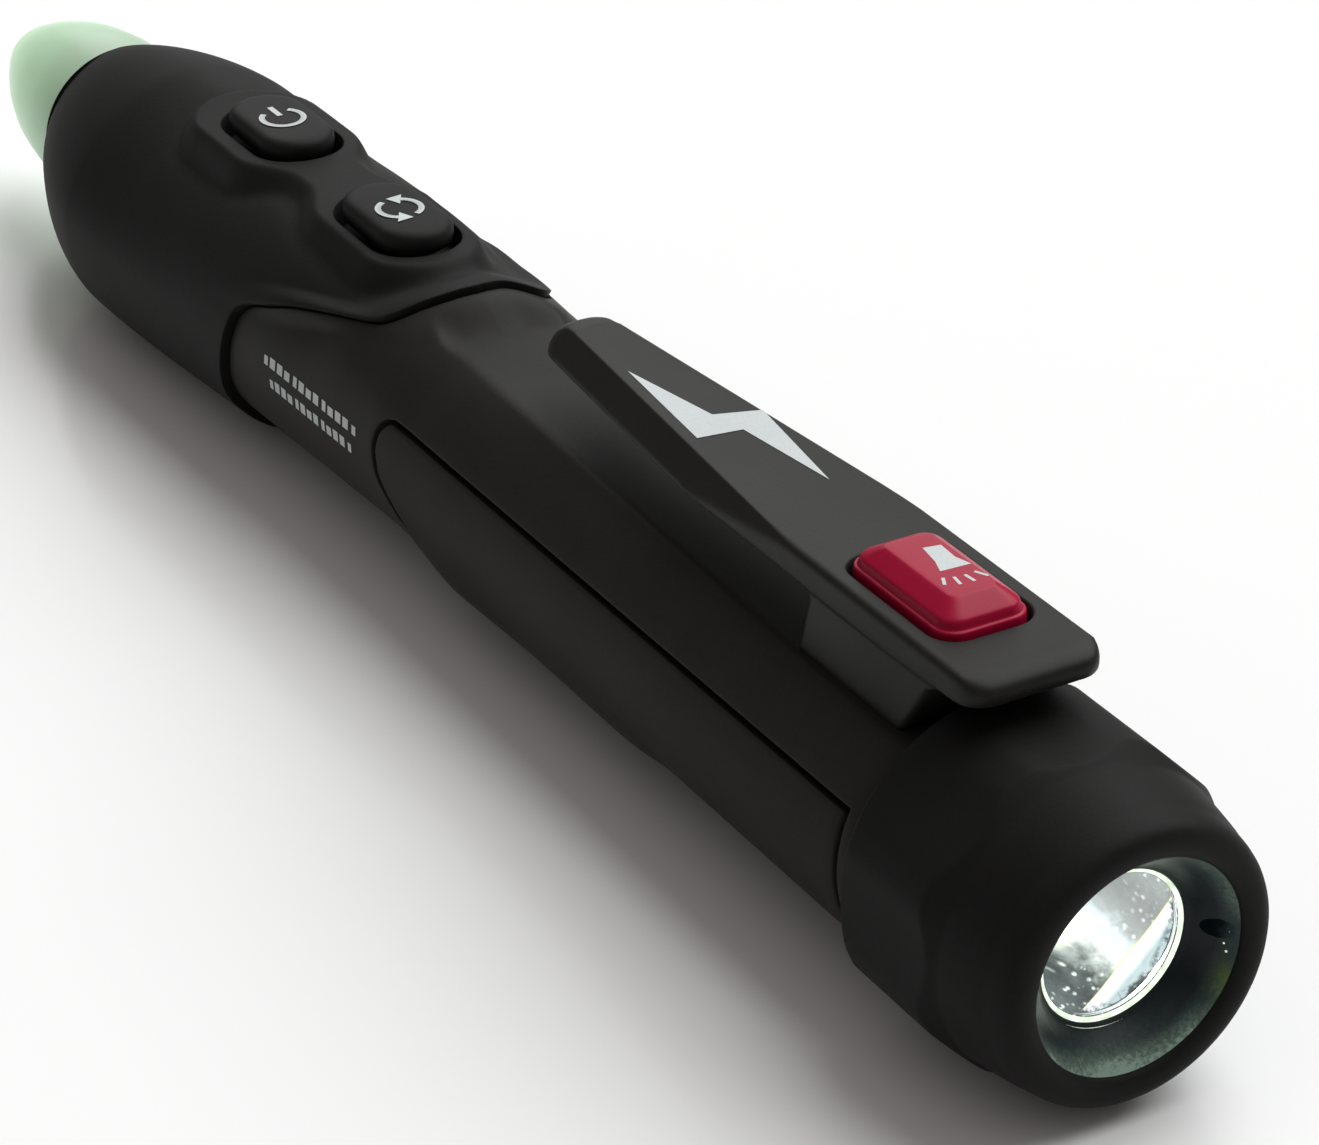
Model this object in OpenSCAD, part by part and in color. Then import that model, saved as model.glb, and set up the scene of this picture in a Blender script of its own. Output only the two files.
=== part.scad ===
// Non-contact voltage detector with a torch in its tail cap, a pocket clip and a glowing sensing tip.
// The length runs along X with the tip at +X, the clip and buttons face +Z, and it rests on Z = 0.

/* [Overall] */
// Length from the torch lip to the end of the sensing tip
overall_l = 178; // [176:1:184]
// Radius of the round housing behind the head
body_r = 10.55; // [10.4:0.05:10.8]
// Wall thickness of the moulded housing
wall = 1.5; // [1.4:0.05:1.6]

/* [Tail cap] */
// Length of the tail cap
cap_l = 17.5; // [17.2:0.1:18.4]
// Size of the collar across two opposite flats
collar_flats = 23.6; // [23.4:0.1:24.2]
// Amount by which the eight collar corners are rounded off
corner_cut = 0.5; // [0.4:0.05:0.6]
// Radius of the torch opening in the soft lip
torch_open_r = 8; // [7.6:0.1:8.2]
// Radius of the bright torch window inside the bezel
window_r = 5.6; // [5.3:0.1:5.8]
// Depth from the lip to the torch window
window_depth = 3.7; // [3.4:0.1:4]
// Thread pitch of the cap
cap_pitch = 1.5; // [1.2:0.1:1.6]
// Number of turns that the cap unscrews here
cap_turns = 2; // [1:0.5:2]

/* [Pocket clip] */
// Length of the clip arm from its lip to its rounded end
clip_l = 61.2; // [57:0.2:62]
// Width of the clip at its root
clip_w = 10.9; // [10.6:0.1:11.2]
// Thickness of the clip arm
clip_t = 2.4; // [2:0.1:2.6]
// Height of the clip's top face above the axis
clip_top = 16.1; // [16:0.1:16.6]

/* [Buttons] */
// Travel of the torch button
torch_travel = 0.6; // [0.4:0.1:0.7]
// Travel of the two keys on the head
key_travel = 0.5; // [0.4:0.1:0.6]
// Length of each key
key_l = 11.8; // [11.2:0.1:12]
// Width of each key
key_w = 6.6; // [6:0.1:6.8]
// Distance of the power key from the end of the tip
power_from_tip = 54.2; // [53:0.2:55]
// Distance of the mode key from the end of the tip
mode_from_tip = 75.4; // [75:0.2:77]

/* [Head and tip] */
// Half width of the finger guard at its widest
guard_half_w = 12.9; // [12.7:0.1:13.2]
// Height of the guard's rim above the axis
guard_top = 11.6; // [11.4:0.1:11.7]
// Radius of the translucent tip where it leaves the head
tip_r = 7.5; // [7.2:0.1:7.6]
// Wall thickness of the translucent tip
tip_wall = 1.2; // [1:0.1:1.4]

/* [Hidden] */
$fn = 96;

// Small clearances
fit = 0.05;
slide_gap = 0.3;
cut = 1;

// Colours
grey_plastic = [0.2, 0.2, 0.19];
dark_plastic = [0.13, 0.13, 0.13];
soft_rubber = [0.11, 0.11, 0.11];
red_plastic = [0.72, 0.04, 0.22];
glow_green = [0.65, 0.9, 0.65, 0.8];
steel = [0.75, 0.75, 0.76];
brass = [0.83, 0.67, 0.3];
board_green = [0.05, 0.32, 0.16];
clear = [0.85, 0.93, 0.97, 0.35];

// Main places along the length, from the torch lip
axis_h = collar_flats / 2;
body_x = cap_l + 0.4;
tip_x = overall_l;
grip_x = tip_x - 89;
side_x = tip_x - 66;
bulb_x = tip_x - 37;
head_end_x = tip_x - 20.8;
power_x = tip_x - power_from_tip;
mode_x = tip_x - mode_from_tip;
torch_x = body_x + 6.6;

// Collar of the tail cap
collar_x = 7.4;
collar_corner_r = axis_h / cos(22.5) - corner_cut;
cone_big_r = axis_h - 0.25;
cone_small_r = 10.75;
lip_r = 10.3;
rubber_r = 10.5;
insert_x = 2.4;
lens_bore_r = window_r + 0.8;
lens_t = 1;
lens_x = window_depth;
reflector_x = lens_x + lens_t;
reflector_l = 5.6;
led_board_x = reflector_x + reflector_l + 0.5;
led_board_t = 1;
seal_x = led_board_x + led_board_t + 0.2;
seal_t = 0.35;
throat_r = 1.7;
led_r = 1.2;
led_board_r = 6.3;
spring_r = 2.9;
spring_wire = 0.35;

// Threaded spigot of the housing
spigot_r = 9.3;
spigot_bore_r = 8.15;
spigot_x = seal_x + seal_t + fit;
thread_r = spigot_r + slide_gap;
thread_depth = 0.12;
cap_travel = cap_pitch * cap_turns;

// Housing
bore_r = body_r - wall;
flat_low = 8.6;
flat_slope = 0.0132;
flat_end_x = grip_x - 5;
ceiling = flat_low - wall;
waist_r = body_r - 0.15;
waist_x = grip_x - 1;
neck_r = body_r + 0.7;
core_r = 9.3;
neck_core_r = neck_r - 1.25;
core_bore_r = 8;
core_x = side_x + 2;
nose_x = tip_x - 28;
plug_x = nose_x - 4;

// Lower shell
seam_z = 4.5;
seam_x = body_x + 2;
shell_x = grip_x - 1.4;
groove_w = 0.45;
groove_d = 0.6;
pad_r = body_r + 0.65;

// Cells
cell_r = 5.25;
cell_l = 43.7;
nub_r = 2.3;
nub_l = 0.8;
cell_z = cell_r + 1.2 - bore_r;
cells_x = 22.8;
cell_gap = 0.05;
contact_x = cells_x + 2 * (cell_l + nub_l) + 2 * cell_gap;
core_step_x = contact_x + 1.6;
cradle_r = waist_r - wall - fit;
cradle_window_l = 17;
cradle_step = 21;

// Main board
board_z = 3.4;
board_t = 1;
board_top = board_z + board_t;
board_half = sqrt(pow(bore_r, 2) - pow(board_top, 2)) - 0.5;
board_x = body_x + 3.2;
board_end = tip_x - 33;
sense_end = tip_x - 11.5;
neck_half = sqrt(pow(core_bore_r, 2) - pow(board_top, 2)) - 0.38;
switch_w = 4.6;
switch_h = 1.8;
plunger_r = 1.2;
plunger_h = 0.6;
plunger_top = board_top + switch_h + plunger_h;
boss_r = 1.5;
screw_r = 0.6;
boss_near = 40;
boss_far = flat_end_x - 6;
buzzer_x = power_x + 9.5;

// Clip
clip_x = body_x - 5.5;
clip_end = clip_x + clip_l;
clip_low = clip_top - clip_t;
lip_low = clip_top - 2.1;
nose_round = 1.6;
clip_edge = 0.7;
bevel_x = clip_x + 27.6;
bevel_half = clip_w / 2 - 0.75;
bevel_a = 33.6;
bevel_taper = 5.4;
root_end = body_x + 15.6;

// Torch button
hole_l = 13;
hole_w = 7.8;
hole_round = 2;
button_gap = 0.3;
button_floor = 11.4;
button_low = button_floor + torch_travel + slide_gap;
flange_top = clip_top + 0.3;
button_top = clip_top + 1.9;
stem_r = 1.5;
stem_hole_r = 2;

// Keys and island on the head
key_top = 13.4;
key_low = core_r + key_travel + slide_gap;
key_gap = 0.6;
island_top = 11.8;
island_border = 1.6;
key_edge = 0.5;

function flat_z(x) = flat_low + flat_slope * (x - body_x);
function smooth(t) = t <= 0 ? 0 : t >= 1 ? 1 : t * t * (3 - 2 * t);

// Places everything so that the collar flat lies on Z = 0 and the length is centred on X
module placed() translate([-overall_l / 2, 0, axis_h]) children();

// Solid of revolution about the long axis from points given as radius and place along X
module turned(points) rotate([0, 90, 0]) rotate_extrude() polygon(points);

// Round bar along X
module bar(x0, x1, r) translate([x0, 0, 0]) rotate([0, 90, 0]) cylinder(h = x1 - x0, r = r);

// Side profile in X and Z made as wide as w
module side(points, w) rotate([90, 0, 0]) linear_extrude(height = w, center = true) polygon(points);

// Block with rounded upright edges
module round_block(l, w, h, r) {
  translate([-l / 2 + r, -w / 2, 0]) cube([l - 2 * r, w, h]);
  translate([-l / 2, -w / 2 + r, 0]) cube([l, w - 2 * r, h]);
  for (sx = [-1, 1])
    for (sy = [-1, 1])
      translate([sx * (l / 2 - r), sy * (w / 2 - r), 0]) cylinder(h = h, r = r);
}

// Long round-ended block with a bevelled top edge
module stadium(l, w, z0, z1, edge) {
  r = w / 2;
  s = l / 2 - r;
  for (sx = [-1, 1])
    translate([sx * s, 0, 0]) {
      translate([0, 0, z0]) cylinder(h = z1 - edge - z0, r = r);
      translate([0, 0, z1 - edge]) cylinder(h = edge, r1 = r, r2 = r - edge);
    }
  rotate([90, 0, 90])
    linear_extrude(height = 2 * s, center = true)
      polygon([[-r, z0], [r, z0], [r, z1 - edge], [r - edge, z1], [edge - r, z1], [-r, z1 - edge]]);
}

// Outline of the housing before anything is cut from it
module body_solid(x0, x1, grow) {
  turned([[0, x0], [body_r - 0.9 + grow, x0], [body_r + grow, x0 + 2], [body_r + grow, flat_end_x - 6],
    [waist_r + grow, waist_x], [neck_r + grow, x1], [0, x1]]);
}

// Flat under the clip, removed from the top of the housing
module top_flat_cut() {
  side([[body_x - 8, flat_z(body_x - 8)], [flat_end_x, flat_z(flat_end_x)],
    [flat_end_x + 2.4, body_r + 0.4], [flat_end_x + 2.4, 2 * body_r], [body_x - 8, 2 * body_r]], 3 * body_r);
}

// Region of the lower shell seen from the side, drawn in by the value in
module shell_region(in) {
  side([[seam_x + in, -2 * body_r], [seam_x + in, seam_z - in], [shell_x - 2.2 - in / 2, seam_z - in],
    [shell_x - 0.8 - in, seam_z - 0.7 - in / 2], [shell_x - in, seam_z - 2.2], [shell_x - 0.1 - in, 0],
    [shell_x - 1.9 - in, -3], [shell_x - 5.5 - in, -6.6], [shell_x - 8.4 - in, -9], [shell_x - 10 - in, -2 * body_r]],
    3 * body_r);
}

// Region of the soft grip seen from the side, drawn in by the value in
module grip_region(in) {
  side([[grip_x + in, 2 * body_r], [grip_x + in, 9.6], [grip_x + 2.5 + in, 8.9 + in], [grip_x + 9, 7.5 + in],
    [grip_x + 14.3, 6.2 + in], [grip_x + 20.2, 4.5 + in], [side_x - 1.1 + in, 3.2], [side_x + in, -1.5],
    [side_x + 2 + in, -7], [side_x + 2 + in, -2 * body_r], [tip_x + 1, -2 * body_r], [tip_x + 1, 2 * body_r]],
    4 * body_r);
}

// Housing tube with the clip flat, the threaded spigot and the hard core of the head
module housing() {
  color(grey_plastic)
    placed()
      difference() {
        union() {
          difference() {
            body_solid(body_x, side_x + 4, 0);
            top_flat_cut();
            shell_region(0);
            grip_region(0);
          }
          difference() {
            head_core(0);
            shell_region(0);
          }
          turned([[0, spigot_x], [spigot_r - 0.3, spigot_x], [spigot_r, spigot_x + 0.3], [spigot_r, body_x + 1.5],
            [0, body_x + 1.5]]);
          for (i = [0 : 2])
            turned([[spigot_r - 0.3, spigot_x + 0.7 + i * cap_pitch], [spigot_r, spigot_x + 0.7 + i * cap_pitch],
              [spigot_r + thread_depth, spigot_x + 0.9 + i * cap_pitch],
              [spigot_r + thread_depth, spigot_x + 1.2 + i * cap_pitch],
              [spigot_r, spigot_x + 1.4 + i * cap_pitch], [spigot_r - 0.3, spigot_x + 1.4 + i * cap_pitch]]);
        }
        housing_void();
        translate([torch_x, 0, 0]) cylinder(h = 2 * body_r, r = stem_hole_r);
        for (x = [mode_x, power_x]) translate([x, 0, 0]) cylinder(h = 2 * body_r, r = stem_hole_r);
        for (x = clip_screw_places()) translate([x, 0, 0]) cylinder(h = 2 * body_r, r = clip_screw_r);
      }
  color(grey_plastic)
    placed()
      for (x = [boss_near, boss_far])
        for (s = [-1, 1]) board_boss(x, s);
}

// Hard core of the head under the soft grip, with a flat under the keys, made larger by the value grow
module head_core(grow) {
  intersection() {
    bar(grip_x - 0.5, core_step_x, neck_core_r + grow);
    side([[grip_x - 1, -2 * body_r], [grip_x - 1, core_r + grow], [core_step_x + cut, core_r + grow],
      [core_step_x + cut, -2 * body_r]], 3 * body_r);
  }
  bar(grip_x - 0.5, nose_x, core_r + grow);
}

// Hollow of the housing
module housing_void() {
  intersection() {
    turned([[0, body_x + wall], [bore_r, body_x + wall], [bore_r, flat_end_x - 6], [waist_r - wall, waist_x],
      [waist_r - wall, core_step_x - 1], [core_bore_r, core_step_x + 1], [core_bore_r, nose_x - 1.5],
      [tip_r, nose_x - 1.5], [tip_r, nose_x + cut], [0, nose_x + cut]]);
    side([[body_x, -2 * body_r], [body_x, ceiling], [flat_end_x + 1, ceiling], [flat_end_x + 4, core_r - wall],
      [core_x + 4, core_r - wall], [core_x + 6, body_r], [tip_x, body_r], [tip_x, -2 * body_r]], 3 * body_r);
  }
  bar(spigot_x - cut, body_x + wall + cut, spigot_bore_r);
}

// Boss under the housing roof that the main board is screwed to
module board_boss(x, s) {
  difference() {
    translate([x, s * boss_y(), board_top]) cylinder(h = ceiling - board_top, r = boss_r);
    translate([x, s * boss_y(), board_top - cut]) cylinder(h = ceiling - board_top - 0.5 + cut, r = screw_r);
  }
}
function boss_y() = 3.6;
clip_screw_r = 0.8;
function clip_screw_places() = [torch_x - 4.4, torch_x + 5.4];

// Removable lower shell with a raised finger pad
module lower_shell() {
  color(grey_plastic)
    placed()
      difference() {
        union() {
          intersection() {
            body_solid(body_x, side_x + 4, 0);
            shell_region(0);
          }
          intersection() {
            turned([[0, 50], [body_r - 0.5, 50], [pad_r, shell_x - 16], [pad_r, shell_x - 12], [body_r - 0.5, shell_x - 7],
              [0, shell_x - 7]]);
            shell_region(0);
            side([[40, -2 * body_r], [52, -4.5], [shell_x - 8, -3.2], [shell_x - 5, -2 * body_r]], 3 * body_r);
          }
        }
        turned([[0, body_x - cut], [bore_r, body_x - cut], [bore_r, flat_end_x - 6], [waist_r - wall, waist_x],
          [waist_r - wall, waist_x + cut], [0, waist_x + cut]]);
        difference() {
          turned([[body_r - groove_d, seam_x - cut], [body_r + 2, seam_x - cut], [body_r + 2, grip_x + 4],
            [waist_r - groove_d, grip_x + 4], [waist_r - groove_d, waist_x], [body_r - groove_d, flat_end_x - 6]]);
          shell_region(groove_w);
        }
      }
}

// Pocket clip with its root block, its lip over the cap and the pocket of the torch button
module pocket_clip() {
  color(grey_plastic)
    placed()
      difference() {
        union() {
          intersection() {
            clip_plan();
            side([[clip_x, lip_low + 0.5], [clip_x + 0.5, lip_low], [body_x - 0.4, lip_low], [body_x + 0.4, lip_low - 1.6],
              [body_x + 2.8, flat_z(body_x + 2.8)], [root_end, flat_z(root_end)], [root_end - 1.4, clip_low],
              [clip_end - 0.9, clip_low], [clip_end, clip_low + 0.6], [clip_end, clip_top - 1.2],
              [clip_end - 0.5, clip_top - 0.5], [clip_end - 1.5, clip_top - 0.1], [clip_end - 3, clip_top],
              [clip_x + 2.6, clip_top], [clip_x + 0.9, clip_top - 0.25], [clip_x, clip_top - 0.9]], 2 * clip_w);
          }
          translate([clip_end - 8, 0, clip_low + 0.3]) rotate([90, 0, 0]) cylinder(h = 3, r = 1.7, center = true);
        }
        translate([torch_x, 0, button_floor]) round_block(hole_l, hole_w, clip_top, hole_round);
        translate([torch_x, 0, flat_low - cut]) cylinder(h = clip_top, r = stem_hole_r);
        for (x = clip_screw_places())
          translate([x, 0, flat_low - cut]) cylinder(h = cut + 2.4, r = clip_screw_r - 0.15);
      }
}

// Plan of the clip: rounded lip corners, rolled top edges, and sides bevelled more and more toward the nose
module clip_plan() {
  edge_half = clip_w / 2 - clip_edge;
  intersection() {
    union() {
      translate([clip_x + 9, 0, 0]) round_block(18, clip_w, clip_top, 1.9);
      translate([clip_end - 9, 0, 0]) round_block(18, clip_w - 3.4, clip_top, nose_round);
      translate([clip_x + 10, -clip_w / 2, 0]) cube([clip_l - 16, clip_w, clip_top]);
    }
    rotate([90, 0, 90])
      linear_extrude(height = clip_end + cut)
        polygon([[-clip_w / 2, 0], [clip_w / 2, 0], [clip_w / 2, clip_top - clip_edge], [clip_w / 2 - 0.2, clip_top - 0.2],
          [edge_half, clip_top], [-edge_half, clip_top], [0.2 - clip_w / 2, clip_top - 0.2],
          [-clip_w / 2, clip_top - clip_edge]]);
    bevelled_side();
    mirror([0, 1, 0]) bevelled_side();
  }
}

// Everything inside one bevelled side of the clip
module bevelled_side() {
  translate([bevel_x, bevel_half, clip_top])
    rotate([0, 0, -bevel_taper])
      rotate([bevel_a, 0, 0])
        translate([-clip_l, -2 * clip_l, -clip_l]) cube([2 * clip_l, 2 * clip_l, 2 * clip_l]);
}

// Two screws that hold the clip from inside the housing
module clip_screws() {
  color(steel)
    placed()
      for (x = clip_screw_places())
        translate([x, 0, 0]) {
          translate([0, 0, ceiling - 0.9]) cylinder(h = 0.9, r = 1.4);
          translate([0, 0, ceiling - 0.1]) cylinder(h = flat_low + 2 - ceiling, r = clip_screw_r - 0.15);
        }
}

// Red torch button with a flange, a bevelled cap and a stem
module torch_button() {
  l = hole_l - 2 * button_gap;
  w = hole_w - 2 * button_gap;
  color(red_plastic)
    placed()
      translate([torch_x, 0, 0]) {
        translate([0, 0, button_low]) round_block(l, w, flange_top - button_low, hole_round - button_gap);
        intersection() {
          translate([0, 0, flange_top - cut]) round_block(l - 1.2, w - 1.2, button_top, 1.3);
          side([[-l / 2 + 0.6, flange_top - cut], [l / 2 - 0.6, flange_top - cut], [l / 2 - 0.6, flange_top + 0.3],
            [l / 2 - 1.9, button_top], [1.9 - l / 2, button_top], [0.6 - l / 2, flange_top + 0.3]], 2 * w);
          rotate([90, 0, 90])
            linear_extrude(height = 2 * l, center = true)
              polygon([[0.6 - w / 2, flange_top - cut], [w / 2 - 0.6, flange_top - cut], [w / 2 - 0.6, flange_top + 0.3],
                [w / 2 - 1.4, button_top], [1.4 - w / 2, button_top], [0.6 - w / 2, flange_top + 0.3]]);
        }
        translate([0, 0, stem_low(torch_travel)]) cylinder(h = button_low + fit - stem_low(torch_travel), r = stem_r);
      }
}
function stem_low(travel) = plunger_top + travel + fit;

// Push switch on the main board
module push_switch(x) {
  translate([x - switch_w / 2, -switch_w / 2, board_top]) cube([switch_w, switch_w, switch_h]);
  translate([x, 0, board_top]) cylinder(h = switch_h + plunger_h, r = plunger_r);
}
module torch_switch() color(dark_plastic) placed() push_switch(torch_x);
module mode_switch() color(dark_plastic) placed() push_switch(mode_x);
module power_switch() color(dark_plastic) placed() push_switch(power_x);

// Soft tail cap: a turned front, a stepped lip and an eight-sided collar
module tail_cap() {
  color(soft_rubber)
    placed()
      difference() {
        union() {
          turned([[0, 0.6], [torch_open_r, 0.6], [torch_open_r + 0.3, 0.2], [torch_open_r + 0.9, 0], [torch_open_r + 1.4, 0],
            [lip_r - 0.4, 0.3], [lip_r + 0.1, 0.9], [lip_r + 0.4, 1.8], [cone_small_r + 0.05, 2.6],
            [cone_big_r, collar_x], [cone_big_r, collar_x + 2], [0, collar_x + 2]]);
          intersection() {
            translate([collar_x - 1, 0, 0]) rotate([0, 90, 0]) rotate([0, 0, 22.5])
              cylinder(h = cap_l - collar_x + 1, r = axis_h / cos(22.5), $fn = 8);
            turned([[0, collar_x - 0.8], [cone_big_r - 0.1, collar_x - 0.8], [collar_corner_r, collar_x + 0.9],
              [collar_corner_r, cap_l - 0.5], [collar_corner_r - 0.5, cap_l], [0, cap_l]]);
          }
        }
        bar(insert_x, cap_l + cut, rubber_r);
        bar(-cut, insert_x + cut, torch_open_r + 0.35);
      }
}

// Hard threaded insert of the cap
module cap_insert() {
  color(dark_plastic)
    placed()
      turned([[torch_open_r + 0.35, insert_x], [rubber_r, insert_x], [rubber_r, cap_l - 0.2], [thread_r, cap_l - 0.2],
        [thread_r, seal_x], [led_board_r + 0.9, seal_x], [led_board_r + 0.9, led_board_x + led_board_t], [lens_bore_r, led_board_x + led_board_t],
        [lens_bore_r, lens_x], [torch_open_r + 0.35, lens_x]]);
}

// Flat ring that seals the spigot against the insert
module cap_seal() {
  color([0.05, 0.05, 0.05])
    placed()
      turned([[spigot_bore_r + 0.2, seal_x], [thread_r - 0.1, seal_x], [thread_r - 0.1, seal_x + seal_t],
        [spigot_bore_r + 0.2, seal_x + seal_t]]);
}

// Funnel around the torch window, with one small drain hole
module torch_bezel() {
  color([0.12, 0.15, 0.14])
    placed()
      difference() {
        turned([[torch_open_r, 0.6], [torch_open_r + 0.35, 0.6], [torch_open_r + 0.35, lens_x], [window_r, lens_x],
          [window_r, lens_x - 0.3], [torch_open_r - 0.7, 1.5]]);
        rotate([bezel_hole_a, 0, 0])
          translate([1.6, 0, bezel_hole_r]) rotate([0, 90, 0]) cylinder(h = 1.3, r = 0.6);
      }
}
bezel_hole_a = 118;
bezel_hole_r = 6.9;

// Clear window
module torch_lens() color(clear) placed() bar(lens_x, lens_x + lens_t, lens_bore_r);

// Bright reflector bowl
module torch_reflector() {
  outer = lens_bore_r;
  color(steel)
    placed()
      turned([[window_r, reflector_x], [outer, reflector_x], [outer, reflector_x + 0.6], [outer - 0.6, reflector_x + 1.2],
        [throat_r + 2.2, reflector_x + reflector_l - 0.9], [throat_r + 1, reflector_x + reflector_l],
        [throat_r, reflector_x + reflector_l], [throat_r + 0.9, reflector_x + reflector_l - 1.4],
        [window_r - 1.9, reflector_x + 2.7], [window_r - 0.7, reflector_x + 1.1]]);
}

// Torch emitter with its dome
module torch_led() {
  color([0.98, 0.97, 0.85])
    placed() {
      bar(led_board_x - 0.5, led_board_x, led_r + 0.3);
      intersection() {
        translate([led_board_x - 0.5, 0, 0]) sphere(r = led_r);
        bar(led_board_x - 3, led_board_x - 0.5, 2 * led_r);
      }
    }
}

// Round board behind the torch
module led_board() color(board_green) placed() bar(led_board_x, led_board_x + led_board_t, led_board_r);

// Contact spring between the torch board and the rear cell
module cap_spring() {
  color(steel)
    placed()
      coil(led_board_x + led_board_t, cells_x - 0.25, spring_r, spring_wire, 5);
}
module coil(x0, x1, r, wire, turns) {
  n = 16 * turns;
  m = 8;
  pts = [for (i = [0 : n]) for (j = [0 : m - 1])
    let (a = 360 * i / 16, lead = smooth(i / n), b = 360 * j / m)
      [x0 + wire + (x1 - x0 - 2 * wire) * lead + wire * sin(b), (r + wire * cos(b)) * cos(a),
        (r + wire * cos(b)) * sin(a)]];
  tube = [for (i = [0 : n - 1]) for (j = [0 : m - 1])
    let (a = i * m + j, b = i * m + (j + 1) % m, c = a + m, d = b + m) each [[a, c, b], [b, c, d]]];
  ends = [[for (j = [0 : m - 1]) j], [for (j = [m - 1 : -1 : 0]) n * m + j]];
  polyhedron(points = pts, faces = concat(tube, ends));
}

// Cells, each with its raised contact
module cell(x) {
  translate([0, 0, cell_z]) {
    turned([[0, x], [cell_r - 0.5, x], [cell_r, x + 0.5], [cell_r, x + cell_l - 0.6], [cell_r - 0.6, x + cell_l],
      [nub_r, x + cell_l], [nub_r, x + cell_l + nub_l], [0, x + cell_l + nub_l]]);
  }
}
module cell_rear() color([0.75, 0.5, 0.2]) placed() cell(cells_x);
module cell_front() color([0.75, 0.5, 0.2]) placed() cell(cells_x + cell_l + nub_l + cell_gap);

// Cradle that the cells lie in
module cell_cradle() {
  x0 = cells_x + 2;
  x1 = contact_x - 2;
  color(dark_plastic)
    placed()
      intersection() {
        difference() {
          bar(x0, x1, cradle_r);
          translate([0, 0, cell_z]) bar(x0 - cut, x1 + cut, cell_r + 0.1);
          for (x = [x0 + 4 : cradle_step : x1 - cradle_window_l])
            translate([x, -body_r, cell_z - 3.6]) cube([cradle_window_l, 2 * body_r, 4]);
        }
        translate([x0, -body_r, -body_r]) cube([x1 - x0, 2 * body_r, body_r + cell_z]);
      }
}

// Front battery contact
module front_contact() {
  color(brass)
    placed() {
      difference() {
        bar(contact_x, contact_x + 0.4, cradle_r);
        translate([contact_x - cut, -body_r, board_z - 0.2]) cube([2 * cut + 1, 2 * body_r, body_r]);
      }
      translate([contact_x, -1.5, board_z - 1.2]) cube([3, 3, 1.2]);
    }
}

// Main circuit board
module main_board() {
  color(board_green)
    placed()
      difference() {
        union() {
          translate([board_x, -board_half, board_z]) cube([core_x - 4 - board_x, 2 * board_half, board_t]);
          translate([board_x, -neck_half, board_z]) cube([board_end - board_x, 2 * neck_half, board_t]);
        }
        for (x = [boss_near, boss_far])
          for (s = [-1, 1]) translate([x, s * boss_y(), board_z - cut]) cylinder(h = 3 * cut, r = screw_r + 0.1);
      }
}

// Four screws that hold the board to its bosses
module board_screws() {
  color(steel)
    placed()
      for (x = [boss_near, boss_far])
        for (s = [-1, 1])
          translate([x, s * boss_y(), 0]) {
            translate([0, 0, board_z - 0.6]) cylinder(h = 0.6, r = 1.1);
            translate([0, 0, board_z - 0.1]) cylinder(h = 2.6, r = screw_r);
          }
}

// Control chip with its leads
module control_chip() {
  color(dark_plastic)
    placed()
      translate([boss_far - 11, 0, board_top]) {
        translate([-3.5, -3, 0]) cube([7, 6, 1.3]);
        for (i = [-2 : 2])
          for (s = [-1, 1])
            translate([i * 1.2 - 0.2, s * 3.4 - 0.5, 0]) cube([0.4, 1, 0.5]);
      }
}

// Small parts along the board
module board_parts() {
  color([0.55, 0.45, 0.3])
    placed()
      for (i = [0 : 5])
        translate([boss_far + 6 + 2.4 * i, (i % 2 == 0 ? -1 : 1) * 3.2 - 0.5, board_top]) cube([1.6, 1, 0.6]);
}

// Round sounder
module buzzer() {
  color(dark_plastic)
    placed()
      translate([buzzer_x, 0, board_top])
        difference() {
          cylinder(h = 2.2, r = 4);
          translate([0, 0, 1.4]) cylinder(h = cut, r = 0.8);
        }
}

// Soft head grip with its finger guard and the raised island around the keys
module head_grip() {
  color(soft_rubber)
    placed()
      difference() {
        union() {
          intersection() {
            grip_skin();
            grip_region(groove_w);
          }
          difference() {
            union() {
              translate([mode_x + 0.3, 0, 0])
                stadium(key_l + 6, key_w + 2 * key_gap + 3, core_r - 1, island_top, 0.6);
              translate([power_x + 1.2, 0, 0])
                stadium(key_l + 6.2, key_w + 2 * key_gap + 4.2, core_r - 1, island_top, 0.6);
              translate([(mode_x + power_x) / 2, 0, 0]) stadium(12, 7, core_r - 1, island_top, 0.6);
            }
          }
        }
        head_core(fit);
        bar(nose_x - cut, tip_x, tip_r + fit);
        for (x = [mode_x, power_x])
          translate([x, 0, 0]) stadium(key_l + 2 * key_gap, key_w + 2 * key_gap, 0, 2 * body_r, 0.1);
      }
}

// Skin of the grip as rings of points: a round neck that swells into the guard and closes toward the tip
ring_n = 44;
lip_h = 1;
function swell(x) = smooth((x - grip_x - 14) / (bulb_x - grip_x - 14));
closing_l = 23.9;
saddle_drop = 0.9;
function closing(x) = x <= bulb_x ? 1 : pow(1 - pow((x - bulb_x) / closing_l, 1.6), 1 / 1.6);
function grip_w(x) = (neck_at(x) + (guard_half_w - neck_at(x)) * swell(x)) * closing(x);
function saddle(x) = saddle_drop * swell(x) * (1 - smooth((x - bulb_x + 9) / 10));
function grip_up(x) = (neck_at(x) + (guard_top - neck_at(x)) * swell(x) - saddle(x)) * pow(closing(x), 0.78);
function grip_down(x) = (neck_at(x) + (axis_h - neck_at(x)) * swell(x)) * pow(closing(x), 0.81);
function neck_at(x) = waist_r + 0.35 + (neck_r - waist_r) * smooth((x - grip_x) / (side_x - grip_x));
function ring_power(s, x) = s > 0 ? 2 - 0.25 * swell(x) : 2 + 0.5 * swell(x);
function lip_rise(x, s) = lip_h * (1 - smooth((x - grip_x - 2) / 6)) * smooth(s / 0.7);
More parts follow.
